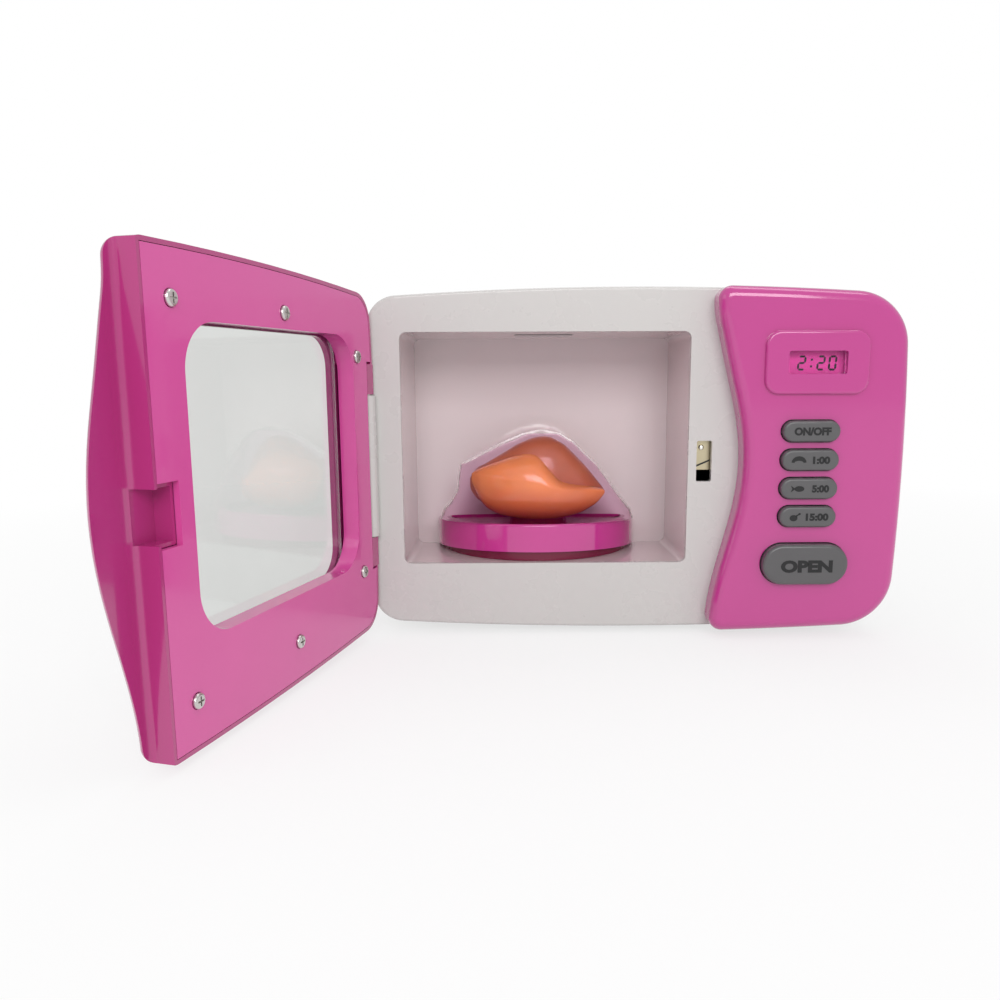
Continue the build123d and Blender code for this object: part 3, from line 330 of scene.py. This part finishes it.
def grid_mesh(name: str, points: np.ndarray) -> bpy.types.Mesh:
    """Makes a closed smooth mesh from rings of points with a pole at each end.

    Args:
        name: The mesh's name.
        points: An array of rings by points round by 3, first and last ring a pole.

    Returns:
        The mesh, with outward faces.
    """
    rings, around, _ = points.shape
    inner = points[1:-1].reshape(-1, 3)
    vertices = np.vstack([points[0, :1], inner, points[-1, :1]])
    ring = np.arange(rings - 3)[:, None] * around + 1
    step = np.arange(around)[None, :]
    after = (step + 1) % around
    quads = np.stack([ring + step, ring + after, ring + around + after, ring + around + step], -1)
    first = np.stack([np.zeros(around, int), 1 + after[0], 1 + step[0]], -1)
    base = 1 + (rings - 3) * around
    last = np.full(around, len(vertices) - 1)
    final = np.stack([last, base + step[0], base + after[0]], -1)
    faces = quads.reshape(-1, 4).tolist() + first.tolist() + final.tolist()
    mesh = bpy.data.meshes.new(name)
    mesh.from_pydata(vertices, [], faces)
    mesh.polygons.foreach_set("use_smooth", np.full(len(mesh.polygons), True))
    mesh.update()
    return mesh


def plate_mesh(name: str, outlines: list[Outline], front: float, depth: float) -> bpy.types.Mesh:
    """Makes thin plates that face the front, one from each outline.

    Args:
        name: The mesh's name.
        outlines: Arrays of x and z, each counterclockwise as seen from the front.
        front: The y of the plates' front face.
        depth: Their thickness.

    Returns:
        The mesh of all the plates.
    """
    vertices: list[np.ndarray] = []
    faces: list[list[int]] = []
    for outline in outlines:
        start = sum(len(v) for v in vertices)
        count = len(outline)
        for y in (front, front + depth):
            vertices.append(np.column_stack([outline[:, 0], np.full(count, y), outline[:, 1]]))
        near = start + np.arange(count)
        beside = start + (np.arange(count) + 1) % count
        faces.append(near.tolist())
        faces.append((near + count)[::-1].tolist())
        faces += np.stack([near, near + count, beside + count, beside], -1).tolist()
    mesh = bpy.data.meshes.new(name)
    mesh.from_pydata(np.vstack(vertices), [], faces)
    mesh.update()
    return mesh


@dataclass(frozen=True)
class Word:
    """A word on a button: its centre, size and the face it lies on, in millimetres."""

    body: str
    text: str
    x: float
    z: float
    width: float
    height: float
    front: float = -70.0


KEY_WORDS = (
    Word("power_button", "ON/OFF", 73.4, 90.5, 15.4, 3.4),
    Word("one_minute_button", "1:00", 77.6, 78.5, 7.2, 3.2),
    Word("five_minute_button", "5:00", 77.8, 66.5, 7.2, 3.2),
    Word("fifteen_minute_button", "15:00", 77.0, 54.5, 9.6, 3.2),
)
OPEN_WORD = Word("open_button", "OPEN", 73.4, 33.4, 22.0, 5.4, front=-71.0)


@dataclass
class Lettering:
    """Plain raised words and numbers, sunk by a tenth of their depth into a button."""

    depth: float = 0.12 * MM
    weight: float = 0.055
    sunk: float = 0.1
    extrusion: float = 0.5
    curve_steps: int = 4

    def mesh(self, word: Word) -> bpy.types.Mesh:
        """Makes a word fitted to its box, facing the front.

        Args:
            word: The word and its box.

        Returns:
            The word as a mesh in the frame's metres.
        """
        curve = bpy.data.curves.new(word.text, "FONT")
        curve.body = word.text
        curve.offset = self.weight
        curve.extrude = self.extrusion
        curve.resolution_u = self.curve_steps
        holder = bpy.data.objects.new(word.text, curve)
        bpy.context.scene.collection.objects.link(holder)
        ready = holder.evaluated_get(bpy.context.evaluated_depsgraph_get())
        mesh = bpy.data.meshes.new_from_object(ready)
        bpy.data.objects.remove(holder)
        flat = np.empty(len(mesh.vertices) * 3)
        mesh.vertices.foreach_get("co", flat)
        points = flat.reshape(-1, 3)
        low, high = points.min(0), points.max(0)
        unit = (points - (low + high) / 2) / (high - low)
        placed = np.column_stack([
            word.x * MM + unit[:, 0] * (word.width * MM),
            word.front * MM - (unit[:, 2] + 0.5 - self.sunk) * self.depth,
            word.z * MM + unit[:, 1] * (word.height * MM),
        ])
        mesh.vertices.foreach_set("co", placed.ravel())
        mesh.update()
        return mesh


@dataclass
class ButtonLabels:
    """Words and simple signs on the five buttons."""

    shop: Workshop
    lettering: Lettering = field(default_factory=Lettering)
    sign_x: float = 68.2 * MM
    sign_front: float = -70.05 * MM
    sign_depth: float = 0.1 * MM
    arch_width: float = 6.2 * MM
    arch_drop: float = 0.9 * MM
    fish_width: float = 5.8 * MM
    meat_width: float = 5.4 * MM
    meat_shift: float = 0.6 * MM
    arc_steps: int = 17
    round_steps: int = 24

    def crescent(self, middle: Pair, width: float) -> list[Outline]:
        """An arch between two arcs: the outer one a half round, the inner one flatter.

        Args:
            middle: Its centre along X and Z.
            width: Its width.

        Returns:
            One outline.
        """
        turn = np.linspace(0, math.pi, self.arc_steps)
        outer = np.column_stack([np.cos(turn), 0.85 * np.sin(turn)])
        inner = np.column_stack([0.62 * np.cos(turn[::-1]), 0.28 * np.sin(turn[::-1])])
        arch = np.vstack([outer, inner - (0, 0.05)])
        return [arch * width / 2 + (middle[0], middle[1] - self.arch_drop)]

    def fish(self, middle: Pair, width: float) -> list[Outline]:
        """An oval body with a notched tail.

        Args:
            middle: Its centre along X and Z.
            width: Its length.

        Returns:
            The outlines of the body and the tail.
        """
        turn = np.linspace(0, 2 * math.pi, self.round_steps, endpoint=False)
        body = np.column_stack([0.72 * np.cos(turn) + 0.25, 0.42 * np.sin(turn)])
        tail = np.array([(-0.3, 0.0), (-1.0, 0.5), (-0.8, 0.0), (-1.0, -0.5)])
        return [part * width / 2 + middle for part in (body, tail)]

    def drumstick(self, middle: Pair, width: float) -> list[Outline]:
        """A round of meat, with a bone that ends in a knob.

        Args:
            middle: Its centre along X and Z.
            width: Its length.

        Returns:
            The outlines of the meat, the bone and the knob.
        """
        turn = np.linspace(0, 2 * math.pi, self.round_steps, endpoint=False)
        ring = np.column_stack([np.cos(turn), np.sin(turn)])
        meat = ring * (0.62, 0.5) + (-0.2, -0.15)
        bone = np.array([(0.25, 0.0), (0.7, 0.38), (0.6, 0.55), (0.1, 0.25)])
        knob = ring * 0.18 + (0.72, 0.5)
        return [part * width / 2 + middle for part in (meat, bone, knob)]

    def label(self, word: Word) -> None:
        """Puts a word on its button.

        Args:
            word: The word and its box.
        """
        mesh = self.lettering.mesh(word)
        self.shop.piece(f"{word.body}_label", mesh, INK, word.body, "grey_plastic")

    def sign(self, body: str, outlines: list[Outline]) -> None:
        """Puts a simple sign on a key.

        Args:
            body: The key's body.
            outlines: The sign's outlines, in metres.
        """
        mesh = plate_mesh(f"{body}_sign", outlines, self.sign_front, self.sign_depth)
        self.shop.piece(f"{body}_sign", mesh, INK, body, "grey_plastic")

    def build(self) -> None:
        """Makes every word and sign."""
        for word in KEY_WORDS:
            self.label(word)
        one, five, fifteen = (word.z * MM for word in KEY_WORDS[1:])
        self.sign("one_minute_button", self.crescent((self.sign_x, one), self.arch_width))
        self.sign("five_minute_button", self.fish((self.sign_x, five), self.fish_width))
        place = (self.sign_x - self.meat_shift, fifteen)
        self.sign("fifteen_minute_button", self.drumstick(place, self.meat_width))
        self.label(OPEN_WORD)


@dataclass
class DisplayDigits:
    """Three seven-segment digits and two dots, shown as dark bars on the card."""

    shop: Workshop
    front: float = -63.28 * MM
    depth: float = 0.05 * MM
    middle_x: float = 75.9 * MM
    middle_z: float = 118.5 * MM
    height: float = 6.2 * MM
    width: float = 3.5 * MM
    bar: float = 0.85 * MM
    pitch: float = 4.6 * MM
    slant: float = 0.08
    bar_gap: float = 0.12
    digits: tuple[tuple[str, float], ...] = (("2", -1.45), ("2", 0.3), ("0", 1.35))
    dots_step: float = -0.57
    dots_rise: float = 0.22

    def segment(self, start: Pair, end: Pair) -> Outline:
        """A bar with pointed ends, from one end to the other.

        Args:
            start: One end, in halves of the digit's width and height.
            end: The other end.

        Returns:
            The bar's outline about the digit's centre, in metres.
        """
        scale = np.array([(self.width - self.bar) / 2, (self.height - self.bar) / 2])
        low, high = np.array(start) * scale, np.array(end) * scale
        along = (high - low) / np.linalg.norm(high - low)
        across = np.array([-along[1], along[0]]) * self.bar / 2
        inset = along * self.bar * self.bar_gap
        tip = along * self.bar / 2
        low, high = low + inset, high - inset
        return np.array([low, low + tip - across, high - tip - across, high,
                         high - tip + across, low + tip + across])

    def digit(self, text: str) -> list[Outline]:
        """Picks the bars of a digit.

        Args:
            text: The digit, 2 or 0.

        Returns:
            Its bars' outlines about the digit's centre.
        """
        bars = {
            "top": ((-1, 1), (1, 1)), "middle": ((-1, 0), (1, 0)), "bottom": ((-1, -1), (1, -1)),
            "high_right": ((1, 0), (1, 1)), "low_right": ((1, -1), (1, 0)),
            "high_left": ((-1, 0), (-1, 1)), "low_left": ((-1, -1), (-1, 0)),
        }
        lit = {
            "2": ("top", "high_right", "middle", "low_left", "bottom"),
            "0": ("top", "high_right", "low_right", "bottom", "low_left", "high_left"),
        }
        return [self.segment(*bars[name]) for name in lit[text]]

    def build(self) -> None:
        """Makes the digits and the two dots as one piece."""
        outlines: list[Outline] = []
        for text, step in self.digits:
            outlines += [bar + (self.pitch * step, 0) for bar in self.digit(text)]
        square = np.array([(-1, -1), (1, -1), (1, 1), (-1, 1)]) * self.bar / 2
        for rise in (-self.dots_rise, self.dots_rise):
            outlines.append(square + (self.pitch * self.dots_step, self.height * rise))
        middle = (self.middle_x, self.middle_z)
        placed = [
            np.column_stack([flat[:, 0] + flat[:, 1] * self.slant, flat[:, 1]]) + middle
            for flat in outlines
        ]
        mesh = plate_mesh("display_digits", placed, self.front, self.depth)
        self.shop.piece("display_digits", mesh, DIGIT, "body", "black_plastic")


@dataclass
class Form:
    """How one moulded lobe changes from its left end to its right end.

    Every row holds one value for each station, in millimetres: the station's
    x, the top, crease and bottom heights, and the half thickness along y. The
    lobe is centred on one y.
    """

    x: Row
    top: Row
    crease: Row
    bottom: Row
    half: Row
    middle_y: float


@dataclass
class Roast:
    """The roast: a golden front lobe with a crease and a fin, and a lobe behind it, darker brown
    as painted shade.
    """

    shop: Workshop
    rings: int = 90
    around: int = 96
    softness: int = 4
    end_power: float = 0.35
    edge_power: float = 0.95
    front: Form = field(default_factory=lambda: Form(
        x=(-71.0, -66.0, -58.0, -48.0, -42.0, -36.0, -32.5, -28.0, -20.0, -11.0, -7.6),
        top=(70.5, 74.0, 76.5, 79.0, 79.6, 76.5, 68.0, 65.6, 64.2, 63.4, 62.2),
        crease=(68.5, 67.2, 66.0, 64.8, 64.0, 63.5, 63.2, 62.8, 62.0, 61.4, 61.0),
        bottom=(62.0, 51.5, 48.4, 47.6, 47.2, 47.2, 47.4, 47.8, 49.0, 53.5, 59.0),
        half=(1.0, 8.0, 12.0, 14.5, 15.0, 15.0, 14.5, 13.5, 10.0, 5.0, 1.0),
        middle_y=-29.0))
    behind: Form = field(default_factory=lambda: Form(
        x=(-72.5, -68.0, -60.0, -52.0, -44.0, -36.0, -30.0, -22.0, -15.0, -9.0, -6.5),
        top=(70.0, 75.0, 78.5, 82.5, 86.6, 87.4, 86.8, 80.5, 73.5, 66.0, 62.0),
        crease=(64.0, 64.0, 65.0, 66.0, 66.0, 66.0, 65.0, 64.0, 62.0, 60.5, 60.0),
        bottom=(58.0, 53.0, 50.0, 50.0, 50.0, 50.0, 50.0, 50.5, 52.0, 55.0, 58.0),
        half=(2.0, 7.0, 10.0, 12.0, 13.0, 13.0, 12.5, 11.0, 8.5, 4.0, 1.0),
        middle_y=-22.0))

    def lobe(self, form: Form) -> np.ndarray:
        """A lobe whose section swings from its top height to its bottom height.

        At each x the section is an oval. Its half thickness comes from the
        row and goes with the cosine of the angle. Its height goes with the
        sine of the angle to the edge power, scaled by the rise above the
        crease or by the drop below it. Rows are joined straight between
        stations and then averaged with their neighbours, which rounds the
        facets. Towards both ends the section shrinks with the root of the
        half sine of the share of the length, to the end power.

        Args:
            form: The lobe's stations.

        Returns:
            An array of rings by points round by 3, in metres.
        """
        share = (1 - np.cos(np.linspace(0, math.pi, self.rings))) / 2
        x = form.x[0] + share * (form.x[-1] - form.x[0])
        kernel = np.ones(2 * self.softness + 1) / (2 * self.softness + 1)

        def row(values: Row) -> np.ndarray:
            """Softens one row of values along the lobe.

            Args:
                values: One value for each station.

            Returns:
                One value for each ring, as a column.
            """
            joined = np.interp(x, form.x, values)
            padded = np.pad(joined, self.softness, mode="edge")
            return np.convolve(padded, kernel, mode="valid")[:, None]

        ends = np.sqrt(np.clip(np.sin(np.pi * share), 0, 1))[:, None] ** self.end_power
        turn = np.linspace(0, 2 * math.pi, self.around, endpoint=False)[None, :]
        rise = np.sign(np.sin(turn)) * np.abs(np.sin(turn)) ** self.edge_power
        crease = row(form.crease)
        reach = np.where(rise > 0, row(form.top) - crease, crease - row(form.bottom))
        points = np.empty((self.rings, self.around, 3))
        points[:, :, 0] = x[:, None]
        points[:, :, 1] = form.middle_y + row(form.half) * ends * np.cos(turn)
        points[:, :, 2] = crease + reach * ends * rise
        return points * MM

    def build(self) -> None:
        """Makes both lobes, the front one standing for the CAD roast."""
        front = grid_mesh("roast_front", self.lobe(self.front))
        piece = self.shop.piece("roast_front", front, ROAST, "body", "chicken_brown")
        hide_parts("roast_chicken")
        # The lobe behind is darker brown as painted shade.
        behind = grid_mesh("roast_behind", self.lobe(self.behind))
        self.shop.piece("roast_behind", behind, SHADED_BACK_SKIN, "body", "chicken_brown")


@dataclass
class Blister:
    """The clear cover: a flared skirt on the dish's rim that closes over the roast."""

    shop: Workshop
    around: int = 96
    steps: int = 60
    crowding: float = 1.2
    base_x: float = -40.0
    middle_y: float = -29.5
    height: Row = (48.6, 53.0, 57.0, 62.0, 68.0, 74.0, 79.0, 84.0, 87.8, 89.4, 89.5)
    left: Row = (-85.0, -83.4, -80.0, -77.2, -76.6, -75.6, -66.0, -56.0, -47.0, -39.5, -38.0)
    right: Row = (4.8, 3.4, 0.0, -3.8, -8.0, -12.5, -18.0, -23.0, -29.0, -36.0, -38.0)
    depth: Row = (21.5, 21.2, 20.4, 19.4, 18.6, 17.4, 15.4, 12.8, 8.6, 2.0, 0.0)
    ripples: tuple[Point, Point] = ((5.0, 0.012, 0.0), (9.0, 0.008, 1.0))

    def build(self) -> None:
        """Makes the cover as a stack of ovals, from the rim up to the ridge.

        Each oval's ends and half depth are read from the rows by height, in
        millimetres. Its depth is waved by a cosine for each ripple, given as
        its count round the oval, its size and its phase.
        """
        share = np.linspace(0, 1, self.steps) ** self.crowding
        level = np.interp(share, np.linspace(0, 1, len(self.height)), self.height)
        left = np.interp(level, self.height, self.left)
        right = np.interp(level, self.height, self.right)
        depth = np.interp(level, self.height, self.depth)
        turn = np.linspace(0, 2 * math.pi, self.around, endpoint=False)
        wave = 1 + sum(size * np.cos(count * turn + lag) for count, size, lag in self.ripples)
        points = np.empty((self.steps + 1, self.around, 3))
        reach = np.outer((right - left) / 2, np.cos(turn))
        points[1:, :, 0] = ((left + right) / 2)[:, None] + reach
        points[1:, :, 1] = self.middle_y + np.outer(depth, np.sin(turn) * wave)
        points[1:, :, 2] = level[:, None]
        points[0] = (self.base_x, self.middle_y, level[0])
        points[-1] = (self.left[-1], self.middle_y, level[-1])
        mesh = grid_mesh("food_blister", points[:, ::-1] * MM)
        piece = self.shop.piece("food_blister", mesh, DOME, "body", "dome_clear")
        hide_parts("food_dome")


@dataclass
class LatchFace:
    """What shows in the latch slot: a rivet head made bright as a painted highlight, and a black
    strip along the plate's bend as painted shade.
    """

    shop: Workshop
    x: float = 31.2 * MM
    face_y: float = -50.8 * MM
    rivet_z: float = 82.6 * MM
    rivet_r: float = 1.1 * MM
    rivet_rise: float = 0.55 * MM
    rivet_proud: float = 0.55 * MM
    rivet_rings: int = 12
    rivet_around: int = 32
    shade_band_corners: tuple[Pair, ...] = ((28.6, 73.8), (35.0, 76.6), (35.0, 77.3), (28.6, 74.6))
    shade_band_proud: float = 0.35 * MM
    shade_band_depth: float = 0.4 * MM

    def build(self) -> None:
        """Makes the rivet's domed head, bright as a painted highlight, and the black strip of
        painted shade along the plate's bend, both riding on the latch.

        The head's radius follows the cosine and its height the sine of the
        angle from its rim. The shade strip's corners are x and z in millimetres.
        """
        rise = np.linspace(0, math.pi / 2, self.rivet_rings)
        turn = np.linspace(0, 2 * math.pi, self.rivet_around, endpoint=False)
        radius = np.concatenate([[0.0], self.rivet_r * np.cos(rise)])
        proud = np.concatenate([[0.0], self.rivet_rise * np.sin(rise)]) + self.rivet_proud
        points = np.empty((len(radius), len(turn), 3))
        points[:, :, 0] = self.x + np.outer(radius, np.cos(turn))
        points[:, :, 1] = (self.face_y - proud)[:, None]
        points[:, :, 2] = self.rivet_z + np.outer(radius, np.sin(turn))
        # The head is made bright as a painted highlight.
        self.shop.piece("latch_rivet_head", grid_mesh("latch_rivet_head", points), GLINT,
                        "latch", "latch_metal")
        # A black strip along the plate's bend, as painted shade under the bent edge.
        strip = np.array(self.shade_band_corners) * MM
        front = self.face_y - self.shade_band_proud
        mesh = plate_mesh("latch_shade_band", [strip], front, self.shade_band_depth)
        self.shop.piece("latch_shade_band", mesh, BLACK, "latch", "black_plastic")


@dataclass
class SpeakerCone:
    """The paper cone and dust cap seen through the sound slots."""

    shop: Workshop
    x: float = 70.0 * MM
    z: float = 79.0 * MM
    face_y: float = 52.5 * MM
    radius: float = 18.5 * MM
    dish: float = 0.9 * MM
    around: int = 64
    share: Row = (0, 0.1, 0.2, 0.28, 0.3, 0.5, 0.7, 0.85, 0.92, 1.0, 1.0, 0.5, 0)
    sink: Row = (0.2, 0.25, 0.4, 0.75, 1.0, 0.8, 0.5, 0.25, 0.0, 0.3, 1.6, 1.6, 1.6)

    def build(self) -> None:
        """Makes the cone as a profile turned about the speaker's axis.

        Each point of the profile is a share of the radius and a sink in cone
        depths: the dust cap, the cone up to its rim, and a flat back.
        """
        share, sink = np.array(self.share), np.array(self.sink)
        turn = np.linspace(0, 2 * math.pi, self.around, endpoint=False)
        points = np.empty((len(share), len(turn), 3))
        points[:, :, 0] = self.x + np.outer(share * self.radius, np.cos(turn))
        points[:, :, 1] = (self.face_y - sink * self.dish)[:, None]
        points[:, :, 2] = self.z + np.outer(share * self.radius, -np.sin(turn))
        mesh = grid_mesh("speaker_cone", points)
        self.shop.piece("speaker_cone", mesh, BLACK, "body", "black_plastic")


@dataclass
class Studio:
    """Pale floor, white surroundings, soft lamps and the photograph's camera."""

    floor_half: float = 3.0
    floor_grey: float = 0.86
    floor_roughness: float = 0.9
    glow_near: float = 0.15
    glow_far: float = 0.60
    glow_least: float = 0.7
    lens: float = 31.21
    sensor: float = 36.0
    clip: Pair = (0.01, 20.0)
    place: Point = (-0.0515, -0.430, 0.1133)
    yaw: float = 0.4
    pitch: float = 9.68
    roll: float = -0.24
    shift: Pair = (-0.0184, 0.0248)
    ambient: float = 0.72
    lamp_target: Point = (-0.03, -0.05, 0.08)

    def seen_directly(self, tree: bpy.types.NodeTree,
                      names: tuple[str, ...]) -> bpy.types.NodeSocket:
        """Adds a value that is 1 for the named kinds of ray.

        Args:
            tree: A material's or the world's node tree.
            names: Outputs of Light Path.

        Returns:
            The socket with the largest of them.
        """
        path = tree.nodes.new("ShaderNodeLightPath")
        value = path.outputs[names[0]]
        for name in names[1:]:
            larger = tree.nodes.new("ShaderNodeMath")
            larger.operation = "MAXIMUM"
            tree.links.new(value, larger.inputs[0])
            tree.links.new(path.outputs[name], larger.inputs[1])
            value = larger.outputs[0]
        return value

    def floor(self) -> None:
        """Makes the pale floor.

        For the rays that see it, its own glow is mixed in, with a share that
        grows with the distance from the object, so its far edge is white.
        """
        half = self.floor_half
        mesh = bpy.data.meshes.new("floor")
        mesh.from_pydata([(-half, -half, 0), (half, -half, 0), (half, half, 0), (-half, half, 0)],
                         [], [(0, 1, 2, 3)])
        material = bpy.data.materials.new("pale_floor")
        material.use_nodes = True
        tree = material.node_tree
        shader = tree.nodes["Principled BSDF"]
        grey = self.floor_grey
        shader.inputs["Base Color"].default_value = (grey, grey, grey, 1.0)
        shader.inputs["Roughness"].default_value = self.floor_roughness
        glow = tree.nodes.new("ShaderNodeEmission")
        glow.inputs["Color"].default_value = (1.0, 1.0, 1.0, 1.0)
        place = tree.nodes.new("ShaderNodeTexCoord")
        far = tree.nodes.new("ShaderNodeVectorMath")
        far.operation = "LENGTH"
        fade = tree.nodes.new("ShaderNodeMapRange")
        fade.inputs["From Min"].default_value = self.glow_near
        fade.inputs["From Max"].default_value = self.glow_far
        fade.inputs["To Min"].default_value = self.glow_least
        fade.inputs["To Max"].default_value = 1.0
        tree.links.new(place.outputs["Object"], far.inputs[0])
        tree.links.new(far.outputs["Value"], fade.inputs["Value"])
        share = tree.nodes.new("ShaderNodeMath")
        share.operation = "MULTIPLY"
        names = ("Is Camera Ray", "Is Glossy Ray", "Is Transmission Ray")
        tree.links.new(self.seen_directly(tree, names), share.inputs[0])
        tree.links.new(fade.outputs["Result"], share.inputs[1])
        mix = tree.nodes.new("ShaderNodeMixShader")
        tree.links.new(share.outputs[0], mix.inputs["Fac"])
        tree.links.new(shader.outputs["BSDF"], mix.inputs[1])
        tree.links.new(glow.outputs["Emission"], mix.inputs[2])
        tree.links.new(mix.outputs["Shader"], tree.nodes["Material Output"].inputs["Surface"])
        mesh.materials.append(material)
        floor = bpy.data.objects.new("floor", mesh)
        bpy.context.scene.collection.objects.link(floor)

    def surroundings(self) -> None:
        """Makes the world white to the camera and a plain soft light elsewhere."""
        world = bpy.data.worlds.new("surroundings")
        world.use_nodes = True
        bpy.context.scene.world = world
        tree = world.node_tree
        strength = tree.nodes.new("ShaderNodeMapRange")
        strength.inputs["To Min"].default_value = self.ambient
        strength.inputs["To Max"].default_value = 1.0
        names = ("Is Camera Ray", "Is Transmission Ray")
        tree.links.new(self.seen_directly(tree, names), strength.inputs["Value"])
        background = tree.nodes["Background"]
        background.inputs["Color"].default_value = (1.0, 1.0, 1.0, 1.0)
        tree.links.new(strength.outputs["Result"], background.inputs["Strength"])

    def lamp(self, name: str, place: Point, size: Pair, power: float) -> None:
        """Adds a soft lamp that points at the object's middle.

        Args:
            name: The lamp's name.
            place: Where it hangs, in metres.
            size: Its width and height.
            power: Its power in watts.
        """
        light = bpy.data.lights.new(name, "AREA")
        light.shape = "RECTANGLE"
        light.size, light.size_y = size
        light.energy = power
        lamp = bpy.data.objects.new(name, light)
        lamp.location = place
        away = Vector(np.array(place) - self.lamp_target)
        lamp.rotation_euler = away.to_track_quat("Z", "Y").to_euler()
        bpy.context.scene.collection.objects.link(lamp)

    def camera(self) -> None:
        """Adds the camera, turned by yaw, pitch and roll in that order."""
        data = bpy.data.cameras.new("camera")
        data.lens = self.lens
        data.sensor_width = self.sensor
        data.shift_x, data.shift_y = self.shift
        data.clip_start, data.clip_end = self.clip
        camera = bpy.data.objects.new("camera", data)
        turn = Matrix.Rotation(math.radians(-self.yaw), 4, "Z")
        turn @= Matrix.Rotation(math.radians(90.0 - self.pitch), 4, "X")
        turn @= Matrix.Rotation(math.radians(self.roll), 4, "Z")
        camera.matrix_world = Matrix.Translation(self.place) @ turn
        bpy.context.scene.collection.objects.link(camera)
        bpy.context.scene.camera = camera

    def build(self) -> None:
        """Sets up the whole studio."""
        bpy.context.scene.view_settings.view_transform = "Standard"
        self.floor()
        self.surroundings()
        self.lamp("front_softbox", (0.10, -1.45, 0.75), (1.0, 0.6), 9.6)
        self.lamp("left_fill", (-1.40, -0.60, 0.60), (0.8, 0.8), 1.2)
        self.lamp("top_strip", (0.20, 0.20, 1.30), (1.4, 0.3), 3.0)
        self.camera()


def main() -> None:
    """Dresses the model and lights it."""
    logging.basicConfig(level=logging.INFO, format="%(name)s: %(message)s")
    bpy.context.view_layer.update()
    shop = Workshop()
    shop.dress_nodes()
    ButtonLabels(shop).build()
    DisplayDigits(shop).build()
    Roast(shop).build()
    Blister(shop).build()
    LatchFace(shop).build()
    SpeakerCone(shop).build()
    Studio().build()


if __name__ == "__main__":
    main()
